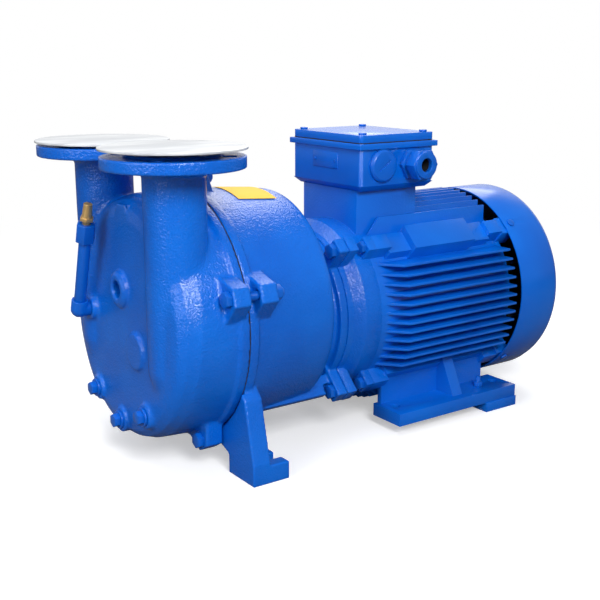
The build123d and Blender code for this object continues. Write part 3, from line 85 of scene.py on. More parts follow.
# Paint colours, in linear light
ENAMEL_BLUE = (0.001, 0.143, 0.67, 1.0)
ENAMEL_BLUE_DEEP = (0.001, 0.112, 0.58, 1.0)
BOLT_BLUE = (0.001, 0.112, 0.55, 1.0)
DISC_WHITE = (0.66, 0.68, 0.70, 1.0)
# Grey of the painted reflections streaked over the disc film
DISC_REFLECTION_GREY = (0.47, 0.49, 0.52, 1.0)
SILENCER_BRASS = (0.76, 0.50, 0.20, 1.0)
STICKER_YELLOW = (0.98, 0.56, 0.02, 1.0)
BARE_STEEL = (0.50, 0.51, 0.53, 1.0)
CORE_STEEL = (0.22, 0.22, 0.24, 1.0)
BARE_IRON = (0.10, 0.10, 0.11, 1.0)
WINDING_COPPER = (0.62, 0.22, 0.07, 1.0)
IMPELLER_BRONZE = (0.58, 0.38, 0.14, 1.0)
RUBBER_BLACK = (0.012, 0.012, 0.013, 1.0)
GASKET_GREY = (0.012, 0.016, 0.03, 1.0)
ALUMINIUM = (0.72, 0.73, 0.74, 1.0)
BOARD_BROWN = (0.16, 0.07, 0.03, 1.0)

# Grain of the cast skin, against its finest grain
LUMPS_PER_GRAIN = 0.22
PITS_PER_GRAIN = 0.6
PIT_EDGE = 0.35

# Painted grey reflections in the film on the port discs, laid as long streaks
FILM_STRETCH = (1.0, 4.5, 1.0)
FILM_TURN = (0.0, 0.0, 0.9)
FILM_REFLECTION_STREAKS_PER_METRE = 7.0

# Mould of the castings: voxel size, smoothing rounds and the share of faces that is kept
CAST_VOXEL = 2.0 * MM
CAST_ROUNDS = 2
CAST_KEEP = 0.28
BLEND_ROUNDS = 45

# Rounding of edges on the other parts
WELD_DISTANCE = 0.02 * MM
FLAT_ANGLE = math.radians(0.6)
EDGE_ANGLE = 35.0
FRAME_EDGE = 0.9 * MM
SHIELD_EDGE = 1.5 * MM
BOX_EDGE = 1.0 * MM
FASTENER_EDGE = 0.5 * MM
SILENCER_EDGE = 0.4 * MM
DISC_EDGE = 0.6 * MM

# Blends of the cover's mould
DUCT_RADIUS = 41 * MM
DUCT_TO_NOSE = 32 * MM
COVER_SKIN_RADIUS = 169 * MM
BLEND_REACH = 17 * MM
BLEND_TOP = 0.40

# Dark sheet inside the fan cover: painted shade behind its slots
FAN_WALL = 2 * MM
SHADE_SHEET_THICKNESS = 0.6 * MM
SHADE_SHEET_INNER = 40 * MM
SHADE_SHEET_OUTER = 138 * MM
SHADE_SHEET_STEPS = 72

# Rim of the terminal box
RIM_HEIGHT = 8.5 * MM
RIM_PROUD = 2.5 * MM
RIM_DEPTH = 4.5 * MM
RIM_EDGE = 1.2 * MM

# Bolt lugs of the drum: angles from the +Y side, and the flank's outline as (reach, spread)
LUG_ANGLES = (90.0, 17.0, 163.0, 239.0, 301.0)
LUG_LENGTH = 26 * MM
LUG_FLANK = ((165 * MM, 8 * MM), (165 * MM, 34 * MM), (198 * MM, 13 * MM), (198 * MM, 8 * MM))

# Threads of the drum bolts
THREAD_PITCH = 1.75 * MM
THREAD_DEPTH = 0.55 * MM
THREAD_ANGLE = 50.0
DRUM_BOLT_RADIUS = 6 * MM
LUG_GAP = 15 * MM

# Sticker on the drum: place behind the seam, angles from the +Y side, and its two radii
STICKER_START = 58 * MM
STICKER_LENGTH = 64 * MM
STICKER_FRONT_RADIUS = 170.4 * MM
STICKER_REAR_RADIUS = 165.6 * MM
STICKER_NEAR_ANGLE = math.radians(109.5)
STICKER_FAR_ANGLE = math.radians(84.0)
STICKER_STEPS = 24
STICKER_LIFT = 0.35 * MM
STICKER_THICKNESS = 0.3 * MM


# Shader groups

def new_group(name, numbers, outputs):
    """An empty shader group with number inputs and named outputs."""
    group = bpy.data.node_groups.new(name, "ShaderNodeTree")
    for label, value in numbers.items():
        socket = group.interface.new_socket(label, in_out="INPUT", socket_type="NodeSocketFloat")
        socket.default_value = value
    for label, kind in outputs.items():
        group.interface.new_socket(label, in_out="OUTPUT", socket_type=kind)
    return group, group.nodes.new("NodeGroupInput"), group.nodes.new("NodeGroupOutput")


def math_node(group, operation, first, second):
    """A Math node whose two inputs are sockets or numbers."""
    node = group.nodes.new("ShaderNodeMath")
    node.operation = operation
    for slot, value in enumerate((first, second)):
        if isinstance(value, (int, float)):
            node.inputs[slot].default_value = value
        else:
            group.links.new(value, node.inputs[slot])
    return node.outputs[0]


def colour_mix(tree, first, second, share):
    """A colour that goes from the first to the second as the share goes from nought to one."""
    node = tree.nodes.new("ShaderNodeMix")
    node.data_type = "RGBA"
    node.inputs[6].default_value = first
    node.inputs[7].default_value = second
    tree.links.new(share, node.inputs[0])
    return node.outputs[2]


def cast_skin_group():
    """Sand-cast iron under enamel: soft lumps, fine grain and a few small pits."""
    numbers = {"Grain per metre": 260.0, "Lump height": 0.5, "Grain height": 0.35, "Pit height": 0.3}
    outputs = {"Height": "NodeSocketFloat", "Gloss change": "NodeSocketFloat"}
    group, entry, result = new_group("cast_skin", numbers, outputs)
    place = group.nodes.new("ShaderNodeTexCoord")
    grain = group.nodes.new("ShaderNodeTexNoise")
    grain.inputs["Detail"].default_value = 2.0
    group.links.new(place.outputs["Object"], grain.inputs["Vector"])
    group.links.new(entry.outputs["Grain per metre"], grain.inputs["Scale"])
    lump = group.nodes.new("ShaderNodeTexNoise")
    lump.inputs["Detail"].default_value = 1.0
    group.links.new(place.outputs["Object"], lump.inputs["Vector"])
    lump_scale = math_node(group, "MULTIPLY", entry.outputs["Grain per metre"], LUMPS_PER_GRAIN)
    group.links.new(lump_scale, lump.inputs["Scale"])
    pit = group.nodes.new("ShaderNodeTexVoronoi")
    group.links.new(place.outputs["Object"], pit.inputs["Vector"])
    pit_scale = math_node(group, "MULTIPLY", entry.outputs["Grain per metre"], PITS_PER_GRAIN)
    group.links.new(pit_scale, pit.inputs["Scale"])
    depth = group.nodes.new("ShaderNodeMapRange")
    depth.inputs["From Max"].default_value = PIT_EDGE
    group.links.new(pit.outputs["Distance"], depth.inputs["Value"])
    lumps = math_node(group, "MULTIPLY", lump.outputs["Fac"], entry.outputs["Lump height"])
    grains = math_node(group, "MULTIPLY", grain.outputs["Fac"], entry.outputs["Grain height"])
    pits = math_node(group, "MULTIPLY", depth.outputs["Result"], entry.outputs["Pit height"])
    height = math_node(group, "ADD", math_node(group, "ADD", lumps, grains), pits)
    group.links.new(height, result.inputs["Height"])
    group.links.new(math_node(group, "SUBTRACT", lump.outputs["Fac"], 0.5), result.inputs["Gloss change"])
    return group


def paint_tone_group():
    """A slow change between two shades of one paint."""
    group, entry, result = new_group("paint_tone", {"Patches per metre": 9.0}, {"Mask": "NodeSocketFloat"})
    place = group.nodes.new("ShaderNodeTexCoord")
    patch = group.nodes.new("ShaderNodeTexNoise")
    patch.inputs["Detail"].default_value = 2.0
    group.links.new(place.outputs["Object"], patch.inputs["Vector"])
    group.links.new(entry.outputs["Patches per metre"], patch.inputs["Scale"])
    spread = group.nodes.new("ShaderNodeMapRange")
    spread.inputs["From Min"].default_value = 0.35
    spread.inputs["From Max"].default_value = 0.65
    group.links.new(patch.outputs["Fac"], spread.inputs["Value"])
    group.links.new(spread.outputs["Result"], result.inputs["Mask"])
    return group


CAST_SKIN = cast_skin_group()
PAINT_TONE = paint_tone_group()


# Materials

def principled(name, colour, roughness, metallic=0.0):
    """A plain Principled material and its shader."""
    material = bpy.data.materials.new(name)
    material.use_nodes = True
    shader = material.node_tree.nodes["Principled BSDF"]
    shader.inputs["Base Color"].default_value = colour
    shader.inputs["Roughness"].default_value = roughness
    shader.inputs["Metallic"].default_value = metallic
    return material, shader


def enamel(name, light, deep, roughness, grain, lump, fine, pits, relief):
    """Glossy enamel in two close shades over a cast or pressed skin."""
    material, shader = principled(name, light, roughness)
    tree = material.node_tree
    tone = tree.nodes.new("ShaderNodeGroup")
    tone.node_tree = PAINT_TONE
    shades = colour_mix(tree, light, deep, tone.outputs["Mask"])
    tree.links.new(shades, shader.inputs["Base Color"])
    skin = tree.nodes.new("ShaderNodeGroup")
    skin.node_tree = CAST_SKIN
    skin.inputs["Grain per metre"].default_value = grain
    skin.inputs["Lump height"].default_value = lump
    skin.inputs["Grain height"].default_value = fine
    skin.inputs["Pit height"].default_value = pits
    bump = tree.nodes.new("ShaderNodeBump")
    bump.inputs["Strength"].default_value = 1.0
    bump.inputs["Distance"].default_value = relief
    tree.links.new(skin.outputs["Height"], bump.inputs["Height"])
    tree.links.new(bump.outputs["Normal"], shader.inputs["Normal"])
    return material


cast_enamel = enamel(
    "cast_enamel", ENAMEL_BLUE, ENAMEL_BLUE_DEEP,
    roughness=0.2, grain=350.0, lump=0.4, fine=0.7, pits=0.15, relief=1.4 * MM,
)
fin_enamel = enamel(
    "fin_enamel", ENAMEL_BLUE, ENAMEL_BLUE_DEEP,
    roughness=0.22, grain=330.0, lump=0.3, fine=0.5, pits=0.1, relief=0.6 * MM,
)
smooth_enamel = enamel(
    "smooth_enamel", ENAMEL_BLUE, ENAMEL_BLUE_DEEP,
    roughness=0.22, grain=120.0, lump=0.25, fine=0.1, pits=0.0, relief=0.3 * MM,
)
bolt_enamel = enamel(
    "bolt_enamel", BOLT_BLUE, ENAMEL_BLUE_DEEP,
    roughness=0.28, grain=500.0, lump=0.2, fine=0.25, pits=0.1, relief=0.2 * MM,
)


def protective_film():
    """Pale film over the port discs, with long soft grey streaks that paint its reflections."""
    material, shader = principled("disc_plastic", DISC_WHITE, 0.3)
    tree = material.node_tree
    place = tree.nodes.new("ShaderNodeTexCoord")
    stretch = tree.nodes.new("ShaderNodeMapping")
    stretch.inputs["Scale"].default_value = FILM_STRETCH
    stretch.inputs["Rotation"].default_value = FILM_TURN
    tree.links.new(place.outputs["Object"], stretch.inputs["Vector"])
    reflection_streak = tree.nodes.new("ShaderNodeTexNoise")
    reflection_streak.inputs["Scale"].default_value = FILM_REFLECTION_STREAKS_PER_METRE
    reflection_streak.inputs["Detail"].default_value = 3.0
    tree.links.new(stretch.outputs["Vector"], reflection_streak.inputs["Vector"])
    spread = tree.nodes.new("ShaderNodeMapRange")
    spread.inputs["From Min"].default_value = 0.38
    spread.inputs["From Max"].default_value = 0.62
    tree.links.new(reflection_streak.outputs["Fac"], spread.inputs["Value"])
    # The grey of these streaks is painted reflection on the film, not the film's own colour.
    shades = colour_mix(tree, DISC_WHITE, DISC_REFLECTION_GREY, spread.outputs["Result"])
    tree.links.new(shades, shader.inputs["Base Color"])
    return material


disc_plastic = protective_film()
silencer_brass = principled("silencer_brass", SILENCER_BRASS, 0.48, 0.75)[0]
sticker_yellow = principled("sticker_yellow", STICKER_YELLOW, 0.6)[0]
bare_steel = principled("bare_steel", BARE_STEEL, 0.32, 1.0)[0]
core_steel = principled("core_steel", CORE_STEEL, 0.5, 1.0)[0]
bare_iron = principled("bare_iron", BARE_IRON, 0.6, 0.4)[0]
copper = principled("copper", WINDING_COPPER, 0.4, 1.0)[0]
bronze = principled("bronze", IMPELLER_BRONZE, 0.4, 1.0)[0]
aluminium = principled("aluminium", ALUMINIUM, 0.5, 1.0)[0]
black_rubber = principled("black_rubber", RUBBER_BLACK, 0.7)[0]
gasket_grey = principled("gasket_grey", GASKET_GREY, 0.8)[0]
fan_plastic = principled("fan_plastic", RUBBER_BLACK, 0.45)[0]
board_brown = principled("board_brown", BOARD_BROWN, 0.5)[0]

FINISHES = {
    "disc_white": disc_plastic,
    "silencer_brass": silencer_brass,
    "steel": bare_steel,
    "bronze": bronze,
    "cast_iron": bare_iron,
    "core_steel": core_steel,
    "cast_aluminium": aluminium,
    "winding_copper": copper,
    "black_rubber": black_rubber,
    "gasket_grey": gasket_grey,
    "fan_plastic": fan_plastic,
    "board_plastic": board_brown,
    "cast_blue": cast_enamel,
    "sheet_blue": smooth_enamel,
    "fastener_blue": bolt_enamel,
}
SLOT_OF = {part["node"]: part["material_slot"] for part in frame["record"]["subparts"]}


def middle_of(name):
    """The middle of a part's box."""
    low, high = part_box(name)
    return (low + high) / 2


def paint(piece, finish):
    """One finish over a whole piece."""
    piece.data.materials.clear()
    piece.data.materials.append(finish)


# Dressing the metal parts

def body_of_node(name):
    """The moving or standing body that a node belongs to."""
    for body, members in frame["record"]["behaviour"]["bodies"].items():
        if name in members:
            return body
    return None


def placed(name, mesh):
    """A new object with a mesh, at the origin."""
    piece = bpy.data.objects.new(name, mesh)
    bpy.context.scene.collection.objects.link(piece)
    return piece


def merged_copy(name):
    """A copy of a part's mesh with its loose triangles joined, at the same place."""
    piece = placed(name + "_dressed", nodes[name].data.copy())
    weld = piece.modifiers.new("weld", "WELD")
    weld.merge_threshold = WELD_DISTANCE
    return piece


def settle(piece):
    """Turns a piece's modifiers into plain mesh."""
    bpy.context.view_layer.update()
    seen = piece.evaluated_get(bpy.context.evaluated_depsgraph_get())
    mesh = bpy.data.meshes.new_from_object(seen)
    piece.modifiers.clear()
    piece.data = mesh


def smooth_by_angle(piece, angle):
    """Smooth shading, except across edges sharper than an angle in degrees."""
    for face in piece.data.polygons:
        face.use_smooth = True
    piece.data.set_sharp_from_angle(angle=math.radians(angle))


def stand_for(piece, name, finish):
    """The dressed piece takes the part's place, body and finish."""
    paint(piece, finish)
    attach(piece, body_of_node(name))
    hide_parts(name)


def soft_edged(name, finish, width, angle=EDGE_ANGLE):
    """A machined or pressed part whose edges are slightly rounded, as paint leaves them."""
    piece = merged_copy(name)
    flat = piece.modifiers.new("flat", "DECIMATE")
    flat.decimate_type = "DISSOLVE"
    flat.angle_limit = FLAT_ANGLE
    edge = piece.modifiers.new("edge", "BEVEL")
    edge.width = width
    edge.segments = 2
    edge.limit_method = "ANGLE"
    edge.angle_limit = math.radians(angle)
    edge.use_clamp_overlap = True
    edge.harden_normals = False
    settle(piece)
    smooth_by_angle(piece, angle)
    stand_for(piece, name, finish)
    return piece


def closeness(distance, reach):
    """One at no distance, falling smoothly to nought at the reach."""
    share = max(0.0, 1.0 - abs(distance) / reach)
    return share * share * (3.0 - 2.0 * share)


def prism(shell, outline, x_start, x_end):
    """Adds a prism along X to a mesh, from an outline of (y, z) points."""
    near = [shell.verts.new((x_start, y, z)) for y, z in outline]
    far = [shell.verts.new((x_end, y, z)) for y, z in outline]
    shell.faces.new(near)
    shell.faces.new(list(reversed(far)))
    for i in range(len(outline)):
        j = (i + 1) % len(outline)
        shell.faces.new((near[j], near[i], far[i], far[j]))


def finished_mesh(shell, name):
    """The mesh of a shell, with its faces pointing outward."""
    bmesh.ops.recalc_face_normals(shell, faces=shell.faces)
    mesh = bpy.data.meshes.new(name)
    shell.to_mesh(mesh)
    shell.free()
    return mesh


def hoop(name, rings):
    """A closed band over rings of points, joined each to the next and the last to the first."""
    shell = bmesh.new()
    loops = [[shell.verts.new(point) for point in ring] for ring in rings]
    for i, first in enumerate(loops):
        second = loops[(i + 1) % len(loops)]
        for j in range(len(first)):
            k = (j + 1) % len(first)
            shell.faces.new((first[j], first[k], second[k], second[j]))
    return placed(name, finished_mesh(shell, name))


def widen_lugs(piece, way):
    """Adds the wide flanks of the bolt lugs, on the side of the seam that way points to."""
    seam = middle_of("cover_gasket")
    front = seam.x + way * LUG_GAP / 2
    rear = front + way * LUG_LENGTH
    shell = bmesh.new()
    shell.from_mesh(piece.data)
    for angle in LUG_ANGLES:
        turn = math.radians(angle)
        outward = Vector((0.0, math.cos(turn), math.sin(turn)))
        across = Vector((0.0, -math.sin(turn), math.cos(turn)))
        for side in (-1, 1):
            outline = []
            for reach, spread in LUG_FLANK:
                point = seam + outward * reach + across * side * spread
                outline.append((point.y, point.z))
            prism(shell, outline, min(front, rear), max(front, rear))
    bmesh.ops.recalc_face_normals(shell, faces=shell.faces)
    shell.to_mesh(piece.data)
    shell.free()


def sand_cast(name, finish, way, blend_weight=None):
    """A casting with the soft corners of its mould, and wide blends where blend_weight says so."""
    piece = merged_copy(name)
    settle(piece)
    widen_lugs(piece, way)
    skin = piece.modifiers.new("skin", "REMESH")
    skin.mode = "VOXEL"
    skin.voxel_size = CAST_VOXEL
    settle(piece)
    if blend_weight:
        zone = piece.vertex_groups.new(name="blend_zone")
        for point in piece.data.vertices:
            weight = blend_weight(point.co)
            if weight > 0.01:
                zone.add([point.index], weight, "REPLACE")
        blend = piece.modifiers.new("blend", "SMOOTH")
        blend.factor = 0.6
        blend.iterations = BLEND_ROUNDS
        blend.vertex_group = "blend_zone"
    ease = piece.modifiers.new("ease", "SMOOTH")
    ease.factor = 0.5
    ease.iterations = CAST_ROUNDS
    thin = piece.modifiers.new("thin", "DECIMATE")
    thin.ratio = CAST_KEEP
    settle(piece)
    piece.vertex_groups.clear()
    for face in piece.data.polygons:
        face.use_smooth = True
    stand_for(piece, name, finish)
    return piece


def mount_place(name):
    """Where a mount of the record lies, in metres."""
    for mount in frame["record"]["mounts"]:
        if mount["name"] == name:
            return Vector(mount["pos_m"])
    return None


def cover_blend_weight():
    """How near a point of the cover is to the line where a duct runs into the drum."""
    ducts = (mount_place("inlet_bore"), mount_place("outlet_bore"))
    axis_height = middle_of("cover_gasket").z
    nose_x = ducts[0].x - DUCT_TO_NOSE

    def weight(point):
        reach = math.hypot(point.y, point.z - axis_height)
        near_skin = max(
            closeness(reach - COVER_SKIN_RADIUS, BLEND_REACH),
            closeness(point.x - nose_x, BLEND_REACH) if reach < COVER_SKIN_RADIUS else 0.0,
        )
        if near_skin == 0.0 or point.z > BLEND_TOP:
            return 0.0
        near_duct = 0.0
        for duct in ducts:
            gap = math.hypot(point.x - duct.x, point.y - duct.y) - DUCT_RADIUS
            near_duct = max(near_duct, closeness(gap, BLEND_REACH))
        return near_skin * near_duct

    return weight


for name, part in nodes.items():
    paint(part, FINISHES[SLOT_OF[name]])

sand_cast("port_cover", cast_enamel, -1, cover_blend_weight())
sand_cast("pump_casing", cast_enamel, 1)
soft_edged("motor_frame", fin_enamel, FRAME_EDGE)
for name in ("drive_end_shield", "fan_end_shield", "foot_spacers"):
    soft_edged(name, cast_enamel, SHIELD_EDGE)
for name in ("terminal_box", "terminal_box_lid", "box_plate"):
    soft_edged(name, smooth_enamel, BOX_EDGE)
soft_edged("fan_cover", smooth_enamel, FASTENER_EDGE)
for name in (
    "cover_bolts", "cover_nuts", "drain_plugs", "drain_plug_washers", "flange_bolts",
    "drive_shield_screws", "fan_shield_screws", "vent_elbow", "vent_pipe", "vent_coupling",
    "cable_gland_body", "gland_cap", "blanking_plug", "box_plate_rivets", "earth_screw",
    "lid_screws", "fan_cover_screws",
):
    soft_edged(name, bolt_enamel, FASTENER_EDGE)
soft_edged("vent_silencer", silencer_brass, SILENCER_EDGE)
for name in ("near_port_disc", "far_port_disc"):
    soft_edged(name, disc_plastic, DISC_EDGE)


# The rim round the top of the terminal box

def box_rim():
    """A low band round the walls of the terminal box, just under its gasket."""
    low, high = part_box("terminal_box")
    centre = middle_of("terminal_box")
    corners = [(low.x, low.y), (high.x, low.y), (high.x, high.y), (low.x, high.y)]
    foot = high.z - RIM_HEIGHT
    rings = []
    for out, height in ((RIM_PROUD, foot), (RIM_PROUD, high.z), (-RIM_DEPTH, high.z), (-RIM_DEPTH, foot)):
        ring = []
        for x, y in corners:
            side_x = math.copysign(out, x - centre.x)
            side_y = math.copysign(out, y - centre.y)
            ring.append((x + side_x, y + side_y, height))
        rings.append(ring)
    piece = hoop("terminal_box_rim", rings)
    edge = piece.modifiers.new("edge", "BEVEL")
    edge.width = RIM_EDGE
    edge.segments = 3
    settle(piece)
    smooth_by_angle(piece, EDGE_ANGLE)
    paint(piece, smooth_enamel)
    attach(piece, "housing")
    return piece


box_rim()


# Threads of the drum bolts, made with Geometry Nodes

def thread_tree():
    """Rings along X, one pitch apart, over the length of a shank."""
    tree = bpy.data.node_groups.new("thread_ridges", "GeometryNodeTree")
    tree.interface.new_socket("Geometry", in_out="INPUT", socket_type="NodeSocketGeometry")
    sizes = {
        "Shank radius": DRUM_BOLT_RADIUS,
        "Thread depth": THREAD_DEPTH,
        "Pitch": THREAD_PITCH,
        "Length": LUG_GAP,
    }
    for label, value in sizes.items():
        socket = tree.interface.new_socket(label, in_out="INPUT", socket_type="NodeSocketFloat")
        socket.default_value = value
    tree.interface.new_socket("Finish", in_out="INPUT", socket_type="NodeSocketMaterial")
    tree.interface.new_socket("Geometry", in_out="OUTPUT", socket_type="NodeSocketGeometry")
    entry = tree.nodes.new("NodeGroupInput")
    result = tree.nodes.new("NodeGroupOutput")
    ring = tree.nodes.new("GeometryNodeCurvePrimitiveCircle")
    ring.inputs["Resolution"].default_value = 40
    tree.links.new(entry.outputs["Shank radius"], ring.inputs["Radius"])
    ridge = tree.nodes.new("GeometryNodeCurvePrimitiveCircle")
    ridge.inputs["Resolution"].default_value = 6
    tree.links.new(entry.outputs["Thread depth"], ridge.inputs["Radius"])
    turn = tree.nodes.new("GeometryNodeCurveToMesh")
    tree.links.new(ring.outputs["Curve"], turn.inputs["Curve"])
    tree.links.new(ridge.outputs["Curve"], turn.inputs["Profile Curve"])
    upright = tree.nodes.new("GeometryNodeTransform")
    upright.inputs["Rotation"].default_value = (0.0, math.radians(90.0), 0.0)
    tree.links.new(turn.outputs["Mesh"], upright.inputs["Geometry"])
    count = math_node(tree, "DIVIDE", entry.outputs["Length"], entry.outputs["Pitch"])
    step = tree.nodes.new("ShaderNodeCombineXYZ")
    tree.links.new(entry.outputs["Pitch"], step.inputs["X"])
    line = tree.nodes.new("GeometryNodeMeshLine")
    tree.links.new(count, line.inputs["Count"])
    tree.links.new(step.outputs["Vector"], line.inputs["Offset"])
    spots = tree.nodes.new("GeometryNodeInstanceOnPoints")
    tree.links.new(line.outputs["Mesh"], spots.inputs["Points"])
    tree.links.new(upright.outputs["Geometry"], spots.inputs["Instance"])
    solid = tree.nodes.new("GeometryNodeRealizeInstances")
    tree.links.new(spots.outputs["Instances"], solid.inputs["Geometry"])
    finish = tree.nodes.new("GeometryNodeSetMaterial")
    tree.links.new(solid.outputs["Geometry"], finish.inputs["Geometry"])
    tree.links.new(entry.outputs["Finish"], finish.inputs["Material"])
    tree.links.new(finish.outputs["Geometry"], result.inputs["Geometry"])
    return tree


def input_name(tree, label):
    """The identifier of one of a tree's inputs."""
    for item in tree.interface.items_tree:
        if item.item_type == "SOCKET" and item.in_out == "INPUT" and item.name == label:
            return item.identifier
    return None


def bolt_axes(name):
    """The centre line of each separate bolt of a part, as (y, z)."""
    mesh = merged_copy(name)
    settle(mesh)
    shell = bmesh.new()
    shell.from_mesh(mesh.data)
    bpy.data.objects.remove(mesh)
    left = set(shell.verts)
    axes = []
    while left:
        group = {left.pop()}
        edge_of_group = set(group)
        while edge_of_group:
            found = {edge.other_vert(point) for point in edge_of_group for edge in point.link_edges}
            edge_of_group = found - group
            group |= edge_of_group
        left -= group
        ys = [point.co.y for point in group]
        zs = [point.co.z for point in group]
        axes.append(((min(ys) + max(ys)) / 2, (min(zs) + max(zs)) / 2))
    shell.free()
    return sorted(axes)


def drum_bolt_threads():
    """Thread ridges where the drum bolts show: between the lugs, and behind the nuts."""
    tree = thread_tree()
    bolt_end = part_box("cover_bolts")[1].x
    nut_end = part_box("cover_nuts")[1].x
    seam = middle_of("cover_gasket").x
    stretches = [(seam - LUG_GAP / 2, LUG_GAP), (nut_end, bolt_end - nut_end)]
    axes = bolt_axes("cover_bolts")
    ridges = bmesh.new()
    for start, length in stretches:
        piece = placed("thread_run", bpy.data.meshes.new("thread_run"))
        run = piece.modifiers.new("thread", "NODES")
        run.node_group = tree
        run[input_name(tree, "Shank radius")] = DRUM_BOLT_RADIUS
        run[input_name(tree, "Thread depth")] = THREAD_DEPTH
        run[input_name(tree, "Pitch")] = THREAD_PITCH
        run[input_name(tree, "Length")] = length
        run[input_name(tree, "Finish")] = bolt_enamel
        settle(piece)
        for y, z in axes:
            part = piece.data.copy()
            part.transform(Matrix.Translation((start + THREAD_PITCH / 2, y, z)))
            ridges.from_mesh(part)
            bpy.data.meshes.remove(part)
        bpy.data.objects.remove(piece)
    threads = placed("drum_bolt_threads", finished_mesh(ridges, "drum_bolt_threads"))
    smooth_by_angle(threads, THREAD_ANGLE)
    paint(threads, bolt_enamel)
    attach(threads, "housing")
    return threads


drum_bolt_threads()


# The dark sheet of painted shade behind the slots of the fan cover

def fan_shade_sheet():
    """A thin dark disc just inside the rear wall of the fan cover, painted shade behind its slots."""
    axis = middle_of("fan_cover")
    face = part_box("fan_cover")[1].x - FAN_WALL - SHADE_SHEET_THICKNESS
    back = face + SHADE_SHEET_THICKNESS
    rings = []
    for x, radius in ((face, SHADE_SHEET_INNER), (face, SHADE_SHEET_OUTER), (back, SHADE_SHEET_OUTER), (back, SHADE_SHEET_INNER)):
        ring = []
        for i in range(SHADE_SHEET_STEPS):
            turn = math.tau * i / SHADE_SHEET_STEPS
            y = axis.y + radius * math.cos(turn)
            z = axis.z + radius * math.sin(turn)
            ring.append((x, y, z))
        rings.append(ring)
    piece = hoop("fan_shade_sheet", rings)
    # The black finish of this sheet is painted shade inside the fan cover.
    paint(piece, fan_plastic)
    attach(piece, "housing")
    return piece


fan_shade_sheet()


# The bare yellow sticker on top of the drum

def drum_sticker():
    """A thin sticker that follows the drum, a little behind its joint with the cover."""
    seam = middle_of("cover_gasket")
    front = seam.x + STICKER_START
    sweep = STICKER_FAR_ANGLE - STICKER_NEAR_ANGLE
    points = []
    faces = []
    for i in range(STICKER_STEPS + 1):
        angle = STICKER_NEAR_ANGLE + sweep * i / STICKER_STEPS
        for along, radius in ((0.0, STICKER_FRONT_RADIUS), (STICKER_LENGTH, STICKER_REAR_RADIUS)):
            reach = radius + STICKER_LIFT
            points.append((front + along, math.cos(angle) * reach, seam.z + math.sin(angle) * reach))
    for i in range(STICKER_STEPS):
        faces.append((2 * i, 2 * i + 1, 2 * i + 3, 2 * i + 2))
    mesh = bpy.data.meshes.new("drum_sticker")
    mesh.from_pydata(points, [], faces)
    piece = placed("drum_sticker", mesh)
    thick = piece.modifiers.new("thick", "SOLIDIFY")
    thick.thickness = STICKER_THICKNESS
    settle(piece)
    paint(piece, sticker_yellow)
    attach(piece, "housing")
    return piece


drum_sticker()


# Studio

def background_rays(tree):
    """One where the camera or a transmitted ray looks straight at the background."""
    path = tree.nodes.new("ShaderNodeLightPath")
    direct = math_node(tree, "MAXIMUM", path.outputs["Is Camera Ray"], path.outputs["Is Transmission Ray"])
    return path, direct


def studio_floor():
    """A wide pale floor that keeps the pump's shadow and turns pure white further out."""
    mesh = bpy.data.meshes.new("studio_floor")
    corners = [(-1, -1), (1, -1), (1, 1), (-1, 1)]
    mesh.from_pydata([(x * FLOOR_REACH, y * FLOOR_REACH, 0) for x, y in corners], [], [(0, 1, 2, 3)])
    floor = placed("studio_floor", mesh)
    material, shader = principled("floor_white", FLOOR_WHITE, 0.9)
    tree = material.node_tree
    direct = background_rays(tree)[1]
    place = tree.nodes.new("ShaderNodeTexCoord")
    away = tree.nodes.new("ShaderNodeVectorMath")
    away.operation = "LENGTH"
    tree.links.new(place.outputs["Object"], away.inputs[0])
    far = tree.nodes.new("ShaderNodeMapRange")
    far.interpolation_type = "SMOOTHSTEP"
    far.inputs["From Min"].default_value = FLOOR_FADE_START
    far.inputs["From Max"].default_value = FLOOR_FADE_END
    tree.links.new(away.outputs["Value"], far.inputs["Value"])
    glow = tree.nodes.new("ShaderNodeEmission")
    glow.inputs["Color"].default_value = (1.0, 1.0, 1.0, 1.0)
    mix = tree.nodes.new("ShaderNodeMixShader")
    tree.links.new(math_node(tree, "MULTIPLY", far.outputs["Result"], direct), mix.inputs[0])
    lift = tree.nodes.new("ShaderNodeEmission")
    lift.inputs["Color"].default_value = (1.0, 1.0, 1.0, 1.0)
    tree.links.new(math_node(tree, "MULTIPLY", direct, FLOOR_LIFT), lift.inputs["Strength"])
    tone = colour_mix(tree, FLOOR_BOUNCE, FLOOR_WHITE, direct)
    tree.links.new(tone, shader.inputs["Base Color"])
    near = tree.nodes.new("ShaderNodeAddShader")
    tree.links.new(shader.outputs[0], near.inputs[0])
    tree.links.new(lift.outputs[0], near.inputs[1])
    tree.links.new(near.outputs[0], mix.inputs[1])
    tree.links.new(glow.outputs[0], mix.inputs[2])
    tree.links.new(mix.outputs[0], tree.nodes["Material Output"].inputs["Surface"])
    mesh.materials.append(material)


def soft_lamp(name, place, aim, size, power):
    """A square softbox that faces a point."""
    light = bpy.data.lights.new(name, "AREA")
    light.shape = "SQUARE"
    light.size = size
    light.energy = power
    lamp = bpy.data.objects.new(name, light)
    bpy.context.scene.collection.objects.link(lamp)
    lamp.location = place
    lamp.rotation_euler = (Vector(aim) - Vector(place)).to_track_quat("-Z", "Y").to_euler()


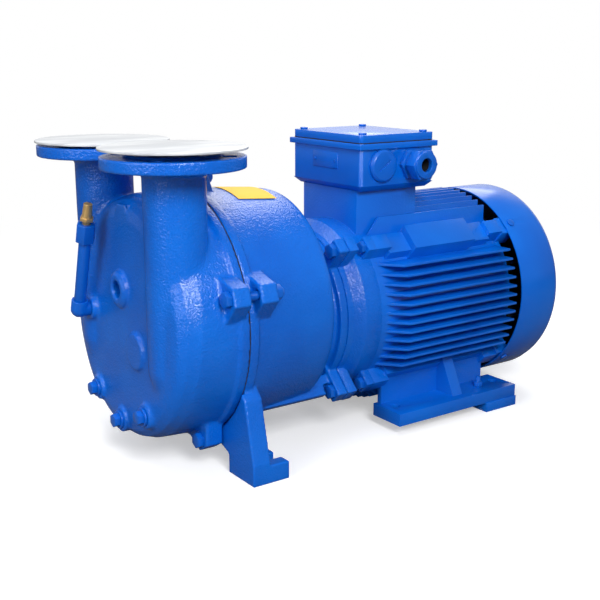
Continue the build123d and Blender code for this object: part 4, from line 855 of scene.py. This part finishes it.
def studio_world():
    """White to the camera, a white wall behind the pump in its gloss, and a soft fill elsewhere."""
    world = bpy.data.worlds.new("studio")
    bpy.context.scene.world = world
    world.use_nodes = True
    tree = world.node_tree
    tree.nodes.clear()
    path, direct = background_rays(tree)
    direction = tree.nodes.new("ShaderNodeTexCoord")
    facing = tree.nodes.new("ShaderNodeVectorMath")
    facing.operation = "DOT_PRODUCT"
    facing.inputs[1].default_value = BACK_WALL_SIDE
    tree.links.new(direction.outputs["Generated"], facing.inputs[0])
    wall = tree.nodes.new("ShaderNodeMapRange")
    wall.interpolation_type = "SMOOTHSTEP"
    wall.inputs["From Min"].default_value = BACK_WALL_EDGE
    wall.inputs["From Max"].default_value = BACK_WALL_FULL
    tree.links.new(facing.outputs["Value"], wall.inputs["Value"])
    gloss = math_node(tree, "MULTIPLY", path.outputs["Is Glossy Ray"], wall.outputs["Result"])
    seen = math_node(tree, "MAXIMUM", direct, gloss)
    white = tree.nodes.new("ShaderNodeBackground")
    white.inputs["Strength"].default_value = 1.0
    white.inputs["Color"].default_value = (1.0, 1.0, 1.0, 1.0)
    fill = tree.nodes.new("ShaderNodeBackground")
    fill.inputs["Strength"].default_value = FILL_STRENGTH
    fill.inputs["Color"].default_value = (0.96, 0.98, 1.0, 1.0)
    mix = tree.nodes.new("ShaderNodeMixShader")
    tree.links.new(seen, mix.inputs[0])
    tree.links.new(fill.outputs[0], mix.inputs[1])
    tree.links.new(white.outputs[0], mix.inputs[2])
    result = tree.nodes.new("ShaderNodeOutputWorld")
    tree.links.new(mix.outputs[0], result.inputs["Surface"])


def photo_camera():
    """The camera where the photographer stood."""
    data = bpy.data.cameras.new("photo_camera")
    data.lens = CAMERA_LENS
    data.sensor_width = 36.0
    camera = bpy.data.objects.new("photo_camera", data)
    bpy.context.scene.collection.objects.link(camera)
    camera.location = CAMERA_PLACE
    camera.rotation_euler = (math.radians(90.0 - CAMERA_PITCH), 0.0, math.radians(-CAMERA_YAW))
    bpy.context.scene.camera = camera


studio_floor()
studio_world()
photo_camera()
middle = (cad_low + cad_high) / 2
drum_middle = middle_of("cover_gasket")
soft_lamp("top_softbox", place=(-0.5, 0.3, 2.4), aim=middle, size=1.6, power=22.0)
soft_lamp("rim_softbox", place=(1.25, 1.25, 1.7), aim=middle, size=1.2, power=15.0)
soft_lamp("front_softbox", place=(-2.6, -0.7, 1.3), aim=middle, size=1.4, power=27.0)
soft_lamp("side_softbox", place=(-0.7, -1.9, 1.5), aim=drum_middle, size=0.8, power=42.0)
bpy.context.scene.view_settings.view_transform = "Standard"
